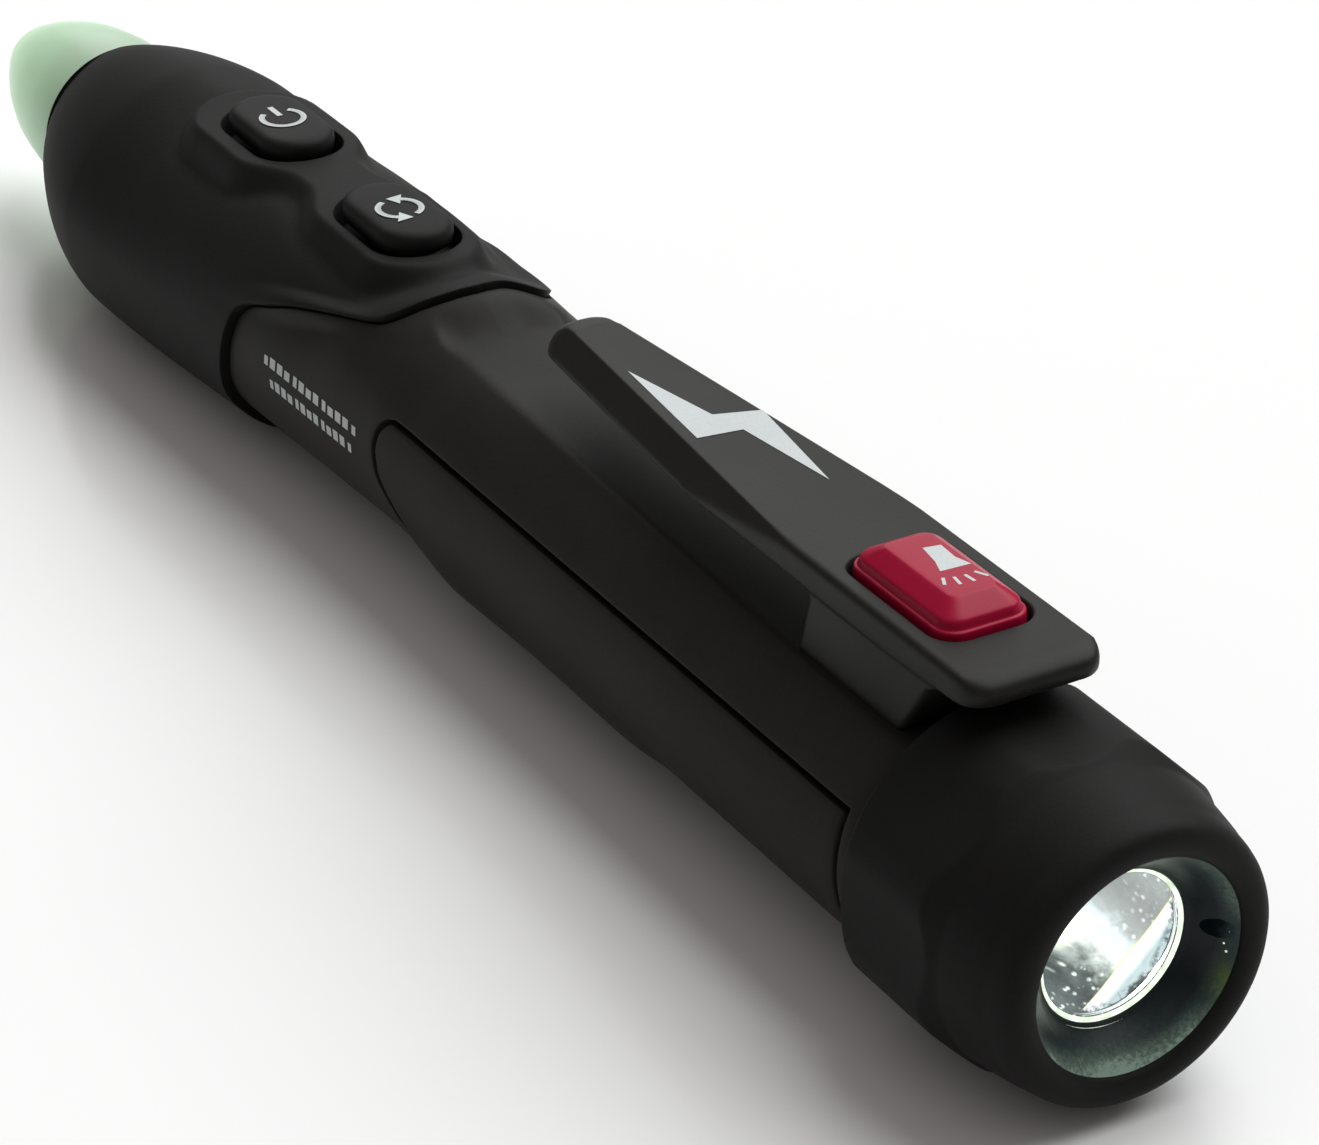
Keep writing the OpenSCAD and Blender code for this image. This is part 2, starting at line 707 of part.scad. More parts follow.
function ring_point(x, a) =
  let (s = sin(a), c = cos(a), p = 2 / ring_power(s, x), rise = lip_rise(x, s),
    z = (s > 0 ? grip_up(x) : grip_down(x)) * sign(s) * pow(abs(s), p))
    [x, grip_w(x) * sign(c) * pow(abs(c), p) + rise * c, z + rise * s];
module grip_skin() {
  stations = concat([grip_x - 2, grip_x + 2.5, grip_x + 5.5, grip_x + 9],
    [for (i = [1 : 8]) grip_x + 9 + i * (bulb_x - grip_x - 9) / 8],
    [for (i = [1 : 8]) bulb_x + i * (head_end_x - bulb_x) / 8]);
  n = len(stations);
  pts = [for (x = stations) for (j = [0 : ring_n - 1]) ring_point(x, 360 * j / ring_n)];
  wallf = [for (i = [0 : n - 2]) for (j = [0 : ring_n - 1])
    let (a = i * ring_n + j, b = i * ring_n + (j + 1) % ring_n, c = a + ring_n, d = b + ring_n)
      each [[a, c, b], [b, c, d]]];
  ends = [[for (j = [0 : ring_n - 1]) j], [for (j = [ring_n - 1 : -1 : 0]) (n - 1) * ring_n + j]];
  polyhedron(points = pts, faces = concat(wallf, ends));
}

// Keys on the head
module key(x) {
  translate([x, 0, 0]) {
    stadium(key_l, key_w, key_low, key_top, key_edge);
    translate([0, 0, stem_low(key_travel)]) cylinder(h = key_low + fit - stem_low(key_travel), r = stem_r);
  }
}
module mode_key() color(soft_rubber) placed() key(mode_x);
module power_key() color(soft_rubber) placed() key(power_x);

// Translucent sensing tip, hollow
module probe_tip() {
  color(glow_green)
    placed()
      difference() {
        turned([[0, plug_x], [core_bore_r, plug_x], [core_bore_r, nose_x - 1.5], [tip_r, nose_x - 1.5],
          [tip_r, tip_x - 16], [tip_r - 0.6, tip_x - 11.4], [tip_r - 1.8, tip_x - 7], [tip_r - 3.3, tip_x - 3.2],
          [tip_r - 4.4, tip_x - 1.1], [tip_r - 5.1, tip_x - 0.3], [tip_r - 6, tip_x], [0, tip_x]]);
        turned([[0, plug_x - cut], [tip_r - tip_wall, plug_x - cut], [tip_r - tip_wall, tip_x - 16],
          [tip_r - tip_wall - 0.7, tip_x - 11.4], [tip_r - tip_wall - 2, tip_x - 7], [1.6, tip_x - 3], [0, tip_x - 3]]);
      }
}

// Metal strip that senses the field
module sense_plate() {
  color(brass)
    placed()
      translate([board_end - 4, -1.2, board_top]) cube([sense_end - board_end + 4, 2.4, 0.3]);
}

// Small lamp that lights the tip
module tip_light() {
  color([0.7, 1, 0.7])
    placed()
      translate([board_end - 2.5, -3.6, board_top]) {
        cube([2.5, 2, 1.4]);
        translate([2.5, 1, 0.7]) sphere(r = 0.6);
      }
}

housing();
lower_shell();
pocket_clip();
clip_screws();
torch_button();
torch_switch();
tail_cap();
cap_insert();
cap_seal();
torch_bezel();
torch_lens();
torch_reflector();
torch_led();
led_board();
cap_spring();
cell_rear();
cell_front();
cell_cradle();
front_contact();
main_board();
board_screws();
control_chip();
board_parts();
buzzer();
mode_switch();
power_switch();
head_grip();
mode_key();
power_key();
probe_tip();
sense_plate();
tip_light();
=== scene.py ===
"""Looks of the non-contact voltage detector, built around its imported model.

Lengths in the shape functions are millimetres from the torch lip (x) and from the long axis (y, z).
at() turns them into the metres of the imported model.
"""

import math
import random

import bmesh
import bpy
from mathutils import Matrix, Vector


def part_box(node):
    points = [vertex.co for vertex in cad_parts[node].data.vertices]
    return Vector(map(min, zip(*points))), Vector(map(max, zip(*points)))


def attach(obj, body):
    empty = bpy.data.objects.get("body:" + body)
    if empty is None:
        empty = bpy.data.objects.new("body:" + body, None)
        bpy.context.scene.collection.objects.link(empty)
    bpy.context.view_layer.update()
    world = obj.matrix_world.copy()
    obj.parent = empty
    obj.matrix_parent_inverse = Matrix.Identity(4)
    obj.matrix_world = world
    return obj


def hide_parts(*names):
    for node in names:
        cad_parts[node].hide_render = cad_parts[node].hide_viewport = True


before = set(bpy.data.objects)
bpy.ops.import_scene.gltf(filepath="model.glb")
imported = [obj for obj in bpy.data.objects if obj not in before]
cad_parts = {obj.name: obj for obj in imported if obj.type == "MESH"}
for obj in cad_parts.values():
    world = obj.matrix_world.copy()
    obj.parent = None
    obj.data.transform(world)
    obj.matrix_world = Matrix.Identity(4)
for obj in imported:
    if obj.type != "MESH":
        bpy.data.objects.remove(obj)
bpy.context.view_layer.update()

bl_info = {
    "name": "Voltage detector looks",
    "version": (1, 0, 0),
    "blender": (4, 5, 0),
    "location": "View3D > Sidebar > Detector",
    "description": "Builds the finished pieces of a non-contact voltage detector around its packed model",
    "category": "Object",
}

MM = 0.001

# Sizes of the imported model: corners, LIP_X and AXIS_Z in metres, all others in millimetres
CAP_LOW, CAP_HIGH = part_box("tail_cap")
LIP_X = CAP_LOW.x
AXIS_Z = (CAP_LOW.z + CAP_HIGH.z) / 2
CAP_L = (CAP_HIGH.x - CAP_LOW.x) / MM
FLAT_R = (CAP_HIGH.z - CAP_LOW.z) / 2 / MM
TIP_X = (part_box("probe_tip")[1].x - LIP_X) / MM
KEY_LOW, KEY_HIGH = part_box("power_key")
POWER_X = ((KEY_LOW.x + KEY_HIGH.x) / 2 - LIP_X) / MM
KEY_L = (KEY_HIGH.x - KEY_LOW.x) / MM
KEY_W = (KEY_HIGH.y - KEY_LOW.y) / MM
KEY_TOP = (KEY_HIGH.z - AXIS_Z) / MM
MODE_X = (sum(c.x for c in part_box("mode_key")) / 2 - LIP_X) / MM
CLIP_LOW, CLIP_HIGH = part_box("pocket_clip")
CLIP_X = (CLIP_LOW.x - LIP_X) / MM
CLIP_END = (CLIP_HIGH.x - LIP_X) / MM
CLIP_TOP = (CLIP_HIGH.z - AXIS_Z) / MM
CLIP_HALF = (CLIP_HIGH.y - CLIP_LOW.y) / 2 / MM
GUARD_HALF = (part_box("head_grip")[1].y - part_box("head_grip")[0].y) / 2 / MM
BUTTON_TOP = (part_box("torch_button")[1].z - AXIS_Z) / MM

# Places along the axis: rear end of the case, middle of the torch button, rear edge of the grip
# on top and on the side, its widest place, its front end, and the start of the tip inside it
BODY_X = CAP_L + 0.4
TORCH_X = BODY_X + 6.6
GRIP_X = TIP_X - 89
SIDE_X = TIP_X - 66
BULB_X = TIP_X - 37
HEAD_END = TIP_X - 20.8
NOSE_X = TIP_X - 28

# Parting groove of the lower shell: its rear end, its angle above the side, and its front corner
SEAM_X = BODY_X + 2
SEAM_ANGLE = 25.2
NOTCH_X = GRIP_X - 4.2


class DetectorSizes(bpy.types.PropertyGroup):
    """Small sizes of the finished pieces."""

    seam_gap: bpy.props.FloatProperty(
        name="Seam gap", description="Width of the parting grooves between the case parts and the grip",
        default=0.00055, min=0.0002, max=0.001, unit="LENGTH")
    shell_wall: bpy.props.FloatProperty(
        name="Shell wall", description="Wall thickness that shows at the edges of the case parts",
        default=0.0012, min=0.0006, max=0.0015, unit="LENGTH")
    edge_round: bpy.props.FloatProperty(
        name="Edge rounding", description="Radius of the moulded edges beside the grooves",
        default=0.00018, min=0.00005, max=0.0004, unit="LENGTH")
    print_height: bpy.props.FloatProperty(
        name="Print height", description="Height of the printed marks above the plastic",
        default=0.00003, min=0.00001, max=0.0001, unit="LENGTH")
    grain_size: bpy.props.FloatProperty(
        name="Grain size", description="Size of one grain of the moulded texture",
        default=0.00022, min=0.0001, max=0.001, unit="LENGTH")


class DetectorColours(bpy.types.PropertyGroup):
    """Colours of the finishes."""

    plastic: bpy.props.FloatVectorProperty(
        name="Case plastic", description="Colour of the hard case and the clip", subtype="COLOR",
        default=(0.0235, 0.0228, 0.0212), min=0, max=1)
    rubber: bpy.props.FloatVectorProperty(
        name="Soft rubber", description="Colour of the soft grip and the tail cap", subtype="COLOR",
        default=(0.0120, 0.0119, 0.0115), min=0, max=1)
    red: bpy.props.FloatVectorProperty(
        name="Button red", description="Colour of the torch button", subtype="COLOR",
        default=(0.36, 0.0005, 0.032), min=0, max=1)
    print_grey: bpy.props.FloatVectorProperty(
        name="Print grey", description="Colour of the printed marks", subtype="COLOR",
        default=(0.56, 0.60, 0.60), min=0, max=1)
    glow: bpy.props.FloatVectorProperty(
        name="Tip glow", description="Colour of the lit sensing tip", subtype="COLOR",
        default=(0.40, 0.66, 0.40), min=0, max=1)
    torch_light: bpy.props.FloatVectorProperty(
        name="Torch light", description="Colour of the lit torch", subtype="COLOR",
        default=(0.93, 1.0, 0.98), min=0, max=1)


def sizes():
    return bpy.context.scene.detector_sizes


def colours():
    return bpy.context.scene.detector_colours


def at(x, y, z):
    """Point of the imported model, in metres, from millimetres."""
    return Vector((LIP_X + x * MM, y * MM, AXIS_Z + z * MM))


def around(x, r, a):
    """Point at place x, radius r and angle a, in degrees from +Y towards +Z."""
    t = math.radians(a)
    return at(x, r * math.cos(t), r * math.sin(t))


def smooth(t):
    """Goes gently from 0 to 1 while t does."""
    t = min(1.0, max(0.0, t))
    return t * t * (3 - 2 * t)


def mix(a, b, t):
    return a + (b - a) * t


def soft_min(a, b, k):
    """The smaller of two values, rounded where they are closer than k."""
    h = min(1.0, max(0.0, 0.5 + 0.5 * (b - a) / k))
    return mix(b, a, h) - k * h * (1 - h)


def soft_max(a, b, k):
    return -soft_min(-a, -b, k)


def hump(x, start, climb, end, fall):
    """Climbs from 0 to 1 after start and falls back to 0 after end."""
    return smooth((x - start) / climb) * (1 - smooth((x - end) / fall))


def round_back(d, r):
    """Set-back of a rounded edge of radius r at distance d into its round."""
    return r - math.sqrt(max(0.0, r * r - d * d))


def along(points, x):
    """Smooth curve through (place, value) points that never overshoots them."""
    if x <= points[0][0]:
        return points[0][1]
    if x >= points[-1][0]:
        return points[-1][1]
    slopes = [(b[1] - a[1]) / (b[0] - a[0]) for a, b in zip(points, points[1:])]
    i = next(k for k in range(len(slopes)) if x <= points[k + 1][0])

    def tangent(k):
        if k == 0:
            return slopes[0]
        if k == len(slopes):
            return slopes[-1]
        a, b = slopes[k - 1], slopes[k]
        return 0.0 if a * b <= 0 else 2 * a * b / (a + b)

    (x0, y0), (x1, y1) = points[i], points[i + 1]
    h = x1 - x0
    t = (x - x0) / h
    return (y0 * (1 + 2 * t) * (1 - t) ** 2 + h * tangent(i) * t * (1 - t) ** 2
            + y1 * t * t * (3 - 2 * t) + h * tangent(i + 1) * t * t * (t - 1))


def spread(a, b, n):
    """Values from a to b in n even steps."""
    return [a + (b - a) * i / n for i in range(n + 1)]


# Meshes

def link_mesh(name, bm, material):
    mesh = bpy.data.meshes.new(name)
    bm.to_mesh(mesh)
    bm.free()
    mesh.update()
    piece = bpy.data.objects.new(name, mesh)
    bpy.context.scene.collection.objects.link(piece)
    piece.data.materials.append(material)
    return piece


def new_piece(name, points, faces, material, smooth_angle=40):
    """Piece from points and faces: doubled points are joined and the faces turned outwards."""
    mesh = bpy.data.meshes.new(name)
    mesh.from_pydata(points, [], faces)
    bm = bmesh.new()
    bm.from_mesh(mesh)
    bpy.data.meshes.remove(mesh)
    bmesh.ops.remove_doubles(bm, verts=bm.verts, dist=1e-7)
    bmesh.ops.recalc_face_normals(bm, faces=bm.faces)
    if all(e.is_manifold for e in bm.edges) and bm.calc_volume(signed=True) < 0:
        bmesh.ops.reverse_faces(bm, faces=bm.faces)
    piece = link_mesh(name, bm, material)
    shade(piece, smooth_angle)
    return piece


def shade(piece, smooth_angle):
    piece.data.shade_smooth()
    if smooth_angle:
        piece.data.set_sharp_from_angle(angle=math.radians(smooth_angle))


def ring_faces(rows, columns, torus, caps):
    """Quads between closed rings of points; torus joins the last ring to the first, caps close both ends."""
    faces = []
    last = rows if torus else rows - 1
    for i in range(last):
        k = (i + 1) % rows
        for j in range(columns):
            m = (j + 1) % columns
            faces.append((i * columns + j, i * columns + m, k * columns + m, k * columns + j))
    if caps:
        faces.append(tuple(range(columns)))
        faces.append(tuple((rows - 1) * columns + j for j in reversed(range(columns))))
    return faces


def rings(name, rows, material, torus=False, caps=False, smooth_angle=40):
    points = [p for row in rows for p in row]
    faces = ring_faces(len(rows), len(rows[0]), torus, caps)
    return new_piece(name, points, faces, material, smooth_angle)


def lathe(name, profile, material, columns=128, closed=False, smooth_angle=40):
    """Turned shape about the long axis from (x, r) points; closed joins the profile's ends."""
    rows = [[around(x, r, 360 * j / columns) for j in range(columns)] for x, r in profile]
    return rings(name, rows, material, torus=closed, smooth_angle=smooth_angle)


def apply_modifiers(piece):
    depsgraph = bpy.context.evaluated_depsgraph_get()
    mesh = bpy.data.meshes.new_from_object(piece.evaluated_get(depsgraph), depsgraph=depsgraph)
    old = piece.data
    piece.modifiers.clear()
    piece.data = mesh
    bpy.data.meshes.remove(old)


def cut_out(piece, cutter):
    m = piece.modifiers.new("cut", "BOOLEAN")
    m.operation = "DIFFERENCE"
    m.solver = "EXACT"
    m.object = cutter
    apply_modifiers(piece)
    bpy.data.objects.remove(cutter)


def join_pieces(name, pieces):
    """Joins separate meshes into one piece and keeps their materials."""
    bpy.ops.object.select_all(action="DESELECT")
    for piece in pieces:
        piece.select_set(True)
    bpy.context.view_layer.objects.active = pieces[0]
    bpy.ops.object.join()
    pieces[0].name = name
    pieces[0].data.name = name
    return pieces[0]


def soften_edges(piece):
    m = piece.modifiers.new("moulded_edge", "BEVEL")
    m.width = sizes().edge_round
    m.segments = 2
    m.limit_method = "ANGLE"
    m.angle_limit = math.radians(60)


def subdivide_once(piece):
    m = piece.modifiers.new("soft", "SUBSURF")
    m.levels = m.render_levels = 1


def rounded_outline(length, width, radius, n):
    """Points of a rounded rectangle around the origin, in order."""
    radius = min(radius, length / 2, width / 2)
    out = []
    for cx, cy, start in ((1, 1, 0), (-1, 1, 90), (-1, -1, 180), (1, -1, 270)):
        for i in range(n + 1):
            a = math.radians(start + 90 * i / n)
            out.append((cx * (length / 2 - radius) + radius * math.cos(a),
                        cy * (width / 2 - radius) + radius * math.sin(a)))
    return out


def outline_row(x, z, length, width, radius, n):
    """Ring of points: a rounded rectangle around place x at height z."""
    return [at(x + u, v, z) for u, v in rounded_outline(length, width, radius, n)]


def stacked(name, x, levels, material, dome=0.0, n=10, smooth_angle=40):
    """Moulded block from rounded outlines stacked in height: (length, width, radius, height)."""
    rows = [outline_row(x, z, l, w, r, n) for l, w, r, z in levels]
    l, w, r, z = levels[-1]
    for k in (0.75, 0.5, 0.25):
        rows.append(outline_row(x, z + dome * (1 - k * k), l * k, w * k, r * k, n))
    return rings(name, rows, material, caps=True, smooth_angle=smooth_angle)


def well_cutter(name, x, length, width, radius, levels, n):
    """Cutter for a rounded opening whose mouth widens, from (height, widening) levels."""
    rows = [outline_row(x, z, length + 2 * e, width + 2 * e, radius + e, n) for z, e in levels]
    return rings(name, rows, finish("groove"), caps=True)


# Finishes

class Finish:
    """Node helper for one procedural finish."""

    def __init__(self, name):
        old = bpy.data.materials.get(name)
        if old:
            bpy.data.materials.remove(old)
        self.material = bpy.data.materials.new(name)
        self.material.use_nodes = True
        self.nodes = self.material.node_tree.nodes
        self.links = self.material.node_tree.links
        self.shader = self.nodes["Principled BSDF"]
        self.coords = self.nodes.new("ShaderNodeTexCoord").outputs["Object"]

    def link(self, a, b):
        self.links.new(a, b)

    def feed(self, socket, value):
        """Leads a value into a socket of the shader."""
        self.link(value, self.shader.inputs[socket])

    def noise(self, scale, detail=2.0, roughness=0.5, stretch=None):
        """Noise with scale waves to a metre, drawn out along the axes by stretch."""
        node = self.nodes.new("ShaderNodeTexNoise")
        node.inputs["Scale"].default_value = scale
        node.inputs["Detail"].default_value = detail
        node.inputs["Roughness"].default_value = roughness
        source = self.coords
        if stretch:
            mapping = self.nodes.new("ShaderNodeMapping")
            mapping.inputs["Scale"].default_value = stretch
            self.link(self.coords, mapping.inputs["Vector"])
            source = mapping.outputs["Vector"]
        self.link(source, node.inputs["Vector"])
        return node.outputs["Fac"]

    def cells(self, scale, feature="F1"):
        node = self.nodes.new("ShaderNodeTexVoronoi")
        node.inputs["Scale"].default_value = scale
        node.feature = feature
        self.link(self.coords, node.inputs["Vector"])
        return node.outputs["Distance"]

    def ramp(self, value, stops):
        node = self.nodes.new("ShaderNodeValToRGB")
        ramp = node.color_ramp
        while len(ramp.elements) < len(stops):
            ramp.elements.new(0.5)
        for element, (place, colour) in zip(ramp.elements, stops):
            element.position = place
            element.color = (*colour, 1)
        self.link(value, node.inputs["Fac"])
        return node.outputs["Color"]

    def tone(self, value, colour, spread_by):
        """Colour that goes darker and lighter with a noise."""
        dark = [c * (1 - spread_by) for c in colour]
        light = [min(1, c * (1 + spread_by)) for c in colour]
        return self.ramp(value, [(0.35, dark), (0.65, light)])

    def range(self, value, low, high, out_low, out_high):
        """Spreads low to high of a value over out_low to out_high."""
        node = self.nodes.new("ShaderNodeMapRange")
        node.inputs["From Min"].default_value = low
        node.inputs["From Max"].default_value = high
        node.inputs["To Min"].default_value = out_low
        node.inputs["To Max"].default_value = out_high
        self.link(value, node.inputs["Value"])
        return node.outputs["Result"]

    def uneven(self, noise, low, high):
        """Spreads the usual reach of a noise over low to high."""
        return self.range(noise, 0.3, 0.7, low, high)

    def sum(self, a, b, operation="ADD"):
        """Adds, or otherwise joins, a value and a second value or plain number."""
        node = self.nodes.new("ShaderNodeMath")
        node.operation = operation
        self.link(a, node.inputs[0])
        if isinstance(b, (int, float)):
            node.inputs[1].default_value = b
        else:
            self.link(b, node.inputs[1])
        return node.outputs["Value"]

    def times(self, a, b):
        return self.sum(a, b, "MULTIPLY")

    def place(self, axis):
        """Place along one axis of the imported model, in metres."""
        node = self.nodes.new("ShaderNodeSeparateXYZ")
        self.link(self.coords, node.inputs["Vector"])
        return node.outputs[axis]

    def away(self, x, y, z):
        """Distance in millimetres from a point of the shape functions."""
        node = self.nodes.new("ShaderNodeVectorMath")
        node.operation = "DISTANCE"
        self.link(self.coords, node.inputs[0])
        node.inputs[1].default_value = at(x, y, z)
        return self.times(node.outputs["Value"], 1 / MM)

    def depth(self, x0, x1, out_low=0.0, out_high=1.0):
        """Value that runs from out_low at place x0 to out_high at place x1."""
        return self.range(self.place("X"), LIP_X + x0 * MM, LIP_X + x1 * MM, out_low, out_high)

    def bump(self, height, distance, edge=None):
        """Relief of the surface, over edges that look rounded by edge."""
        node = self.nodes.new("ShaderNodeBump")
        node.inputs["Distance"].default_value = distance
        self.link(height, node.inputs["Height"])
        if edge:
            bevel = self.nodes.new("ShaderNodeBevel")
            bevel.samples = 4
            bevel.inputs["Radius"].default_value = edge
            self.link(bevel.outputs["Normal"], node.inputs["Normal"])
        self.link(node.outputs["Normal"], self.shader.inputs["Normal"])

    def blend(self, first, second, factor=1.0, how="MIX"):
        node = self.nodes.new("ShaderNodeMix")
        node.data_type = "RGBA"
        node.blend_type = how
        if isinstance(factor, float):
            node.inputs["Factor"].default_value = factor
        else:
            self.link(factor, node.inputs["Factor"])
        self.link(first, node.inputs["A"])
        self.link(second, node.inputs["B"])
        return node.outputs["Result"]

    def slant(self, x, y, z, start):
        """Distance from a slanted plane in millimetres; x, y and z are its direction times 1000."""
        total = self.times(self.place("X"), x)
        total = self.sum(total, self.times(self.place("Y"), y))
        return self.sum(self.sum(total, self.times(self.place("Z"), z)), start)

    def set(self, **values):
        for key, value in values.items():
            self.shader.inputs[key.replace("_", " ")].default_value = value


def moulded(name, colour, rough, grain=1.0, depth=0.00001, edge=0.0, mottle=0.12, **values):
    """Moulded plastic or rubber: fine grain, faint mottling, uneven gloss."""
    f = Finish(name)
    fine = f.noise(1 / (sizes().grain_size * grain), 3, 0.6)
    broad = f.noise(120, 3, 0.55)
    smear = f.noise(38, 2, 0.5)
    both = f.sum(f.times(fine, 0.5), f.times(broad, 0.5))
    f.feed("Base Color", f.tone(both, colour, mottle))
    f.feed("Roughness", f.uneven(smear, rough - 0.05, rough + 0.06))
    f.bump(fine, depth, edge=edge)
    f.set(**values)
    return f.material


def steel_finish():
    f = Finish("brushed_steel")
    streak = f.noise(900, 3, 0.6, stretch=(0.15, 1, 1))
    f.feed("Base Color", f.tone(streak, (0.6, 0.6, 0.61), 0.15))
    f.feed("Roughness", f.uneven(streak, 0.25, 0.4))
    f.bump(streak, 0.000004)
    f.set(Metallic=1.0)
    return f.material


def brass_finish():
    f = Finish("contact_brass")
    stain = f.noise(700, 4, 0.6)
    brass = [(0.35, (0.52, 0.36, 0.12)), (0.7, (0.72, 0.54, 0.22))]
    f.feed("Base Color", f.ramp(stain, brass))
    f.feed("Roughness", f.uneven(stain, 0.28, 0.42))
    f.bump(stain, 0.000004)
    f.set(Metallic=1.0)
    return f.material


def board_finish():
    f = Finish("board_green")
    tracks = f.cells(900, "DISTANCE_TO_EDGE")
    green = [(0.04, (0.03, 0.16, 0.06)), (0.12, (0.012, 0.09, 0.035))]
    f.feed("Base Color", f.ramp(tracks, green))
    f.feed("Roughness", f.uneven(f.noise(500), 0.3, 0.42))
    f.bump(tracks, 0.00001)
    return f.material


def cell_finish():
    f = Finish("cell_jacket")
    band = f.range(f.place("X"), -0.07, 0.03, 0, 1)
    jacket = [(0.0, (0.42, 0.30, 0.10)), (0.5, (0.05, 0.05, 0.05)), (1.0, (0.42, 0.30, 0.10))]
    f.feed("Base Color", f.ramp(band, jacket))
    f.feed("Roughness", f.uneven(f.noise(300), 0.2, 0.32))
    f.bump(f.noise(1500), 0.000004)
    f.set(Metallic=0.6)
    return f.material


def parts_finish():
    f = Finish("chip_and_parts")
    speck = f.cells(1200)
    brown = [(0.2, (0.32, 0.25, 0.15)), (0.6, (0.14, 0.11, 0.08))]
    f.feed("Base Color", f.ramp(speck, brown))
    f.feed("Roughness", f.range(speck, 0, 1, 0.35, 0.5))
    f.bump(speck, 0.000005)
    return f.material


def all_finishes():
    """Makes every shared finish once and gives them by name."""
    c = colours()
    return {
        "case": moulded("case_plastic", c.plastic, 0.44, edge=0.0002, IOR=1.16),
        "shell": moulded("lower_shell_plastic", [v * 0.95 for v in c.plastic], 0.48, grain=1.1,
                         depth=0.000014, edge=0.0002, IOR=1.15),
        # The clip's finish is the case plastic made darker: painted shade for the clip's shaded sides
        "clip": moulded("clip_plastic_painted_shade", [v * 0.68 for v in c.plastic], 0.40, edge=0.0003, IOR=1.23),
        "rubber": moulded("grip_rubber", c.rubber, 0.58, grain=1.4, depth=0.000018, edge=0.0003,
                          Sheen_Weight=0.015, Sheen_Roughness=0.5, IOR=1.19),
        "cap": moulded("cap_rubber", c.rubber, 0.54, grain=1.2, depth=0.000014, edge=0.0002,
                       Sheen_Weight=0.01, Sheen_Roughness=0.5, IOR=1.16),
        "key": moulded("key_rubber", [v * 1.1 for v in c.rubber], 0.52, grain=1.2, depth=0.000012,
                       edge=0.0002, IOR=1.19),
        # Near-black: painted shade down in the groove before the grip, and the real black of the cap seal
        "groove": moulded("painted_shade_and_seal_black", (0.002, 0.002, 0.002), 0.8, Specular_IOR_Level=0.1),
        "red": moulded("button_red", c.red, 0.3, grain=0.9, depth=0.000006, mottle=0.06,
                       Subsurface_Weight=0.05, Subsurface_Scale=0.001, IOR=1.28),
        "print": moulded("print_grey", c.print_grey, 0.5, grain=0.8, depth=0.000006, mottle=0.08),
        "dark": moulded("inner_dark_plastic", (0.02, 0.02, 0.021), 0.5),
        "steel": steel_finish(),
        "brass": brass_finish(),
        "board": board_finish(),
        "cell": cell_finish(),
        "parts": parts_finish(),
    }


FINISHES = {}


def finish(name):
    if not FINISHES:
        FINISHES.update(all_finishes())
    return FINISHES[name]


def dress(piece, body, slot, *nodes):
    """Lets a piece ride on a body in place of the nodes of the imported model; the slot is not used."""
    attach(piece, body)
    if nodes:
        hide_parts(*nodes)


# Case

# Tube, flat on its top, low shoulder and collar before the grip, and the groove between them
TUBE_R = 10.55
FLAT_Z = 8.6
FLAT_CLIMB = 0.0131
CREASE_X = GRIP_X - 1.4
CREASE_BEND = 0.1
RAMP_CLIMB = 0.3
SHOULDER = 0.72
COLLAR = 0.85
UPPER = 0.3
GROOVE_DEPTH = 0.66
KEY_ROOM = 0.9

# Stretch of the lower shell that has the closer rows of points
PAD_X = GRIP_X - 39
PAD_END = GRIP_X - 19

# Threaded spigot
SPIGOT_X = CAP_L - 5.15
SPIGOT_R = 9.22
SPIGOT_BORE = 8.2
THREAD_PITCH = 1.5
THREAD_DEPTH = 0.26


def tube_r(x):
    """Radius of the round case before the flat is cut on its top."""
    return along([(BODY_X, 9.75), (BODY_X + 0.35, 10.12), (BODY_X + 1.0, 10.4), (BODY_X + 2.2, TUBE_R),
                  (GRIP_X - 13, TUBE_R), (GRIP_X - 7, 10.5), (GRIP_X - 1, 10.42), (GRIP_X + 8, 10.66),
                  (GRIP_X + 18, 10.98), (SIDE_X + 5, 11.3)], x)


def flat_height(x, slant):
    """Height of the flat under the clip, which climbs more steeply past a curved crease."""
    h = FLAT_Z + FLAT_CLIMB * (x - BODY_X)
    y = h * slant
    return h + RAMP_CLIMB * soft_max(x - CREASE_X + CREASE_BEND * y * y, 0.0, 1.0)


def case_r(x, a):
    """Radius of the case: a tube with a flat, a low shoulder and a collar before the grip."""
    s = math.sin(math.radians(a))
    upright = smooth(s / 0.8)
    r = tube_r(x) + SHOULDER * hump(x, GRIP_X - 7, 6.5, GRIP_X + 4, 9) * upright
    if s > UPPER:
        r = soft_min(r, flat_height(x, math.cos(math.radians(a)) / s) / s, 0.25)
        rise = hump(x - grip_start(a), -4.8, 4.6, 0.8, 2) * smooth((s - UPPER) / 0.3)
        r = mix(r, max(r, tube_r(x) + COLLAR * upright), rise)
    return r


def on_case(x, a, lift=0.0):
    """Point of the case at place x and angle a, in degrees from +Y towards +Z."""
    return around(x, case_r(x, a) + lift, a)


def folded(a):
    """Angle above or below the side of the case, the same on both sides."""
    a = (a + 180) % 360 - 180
    return a if abs(a) <= 90 else (180 - a if a > 0 else -180 - a)


def shell_front(a):
    """Front edge of the lower shell at a folded angle."""
    z = 10.5 * math.sin(math.radians(a))
    back = along([(-10.5, 10.1), (-9, 9.6), (-6.6, 7.0), (-3, 3.4), (-0.6, 1.65), (1.2, 1.35), (2.6, 1.7),
                  (3.6, 2.4), (4.2, 3.2), (4.47, 4.2)], z)
    return GRIP_X - back


def grip_edge(a):
    """Rear edge of the soft grip at a folded angle."""
    reach = along([(-90, 25.2), (-34, 25.1), (-26, 24.7), (-8, 23.2), (6, 22.2), (16, 21.4), (21, 20.6),
                   (24.5, 19.3), (28, 17.3), (34, 14.2), (42, 9.2), (47, 5.9), (50, 4.1), (53, 2.9),
                   (58, 2.0), (67, 1.1), (79, 0.3), (90, 0)], a)
    return GRIP_X + reach


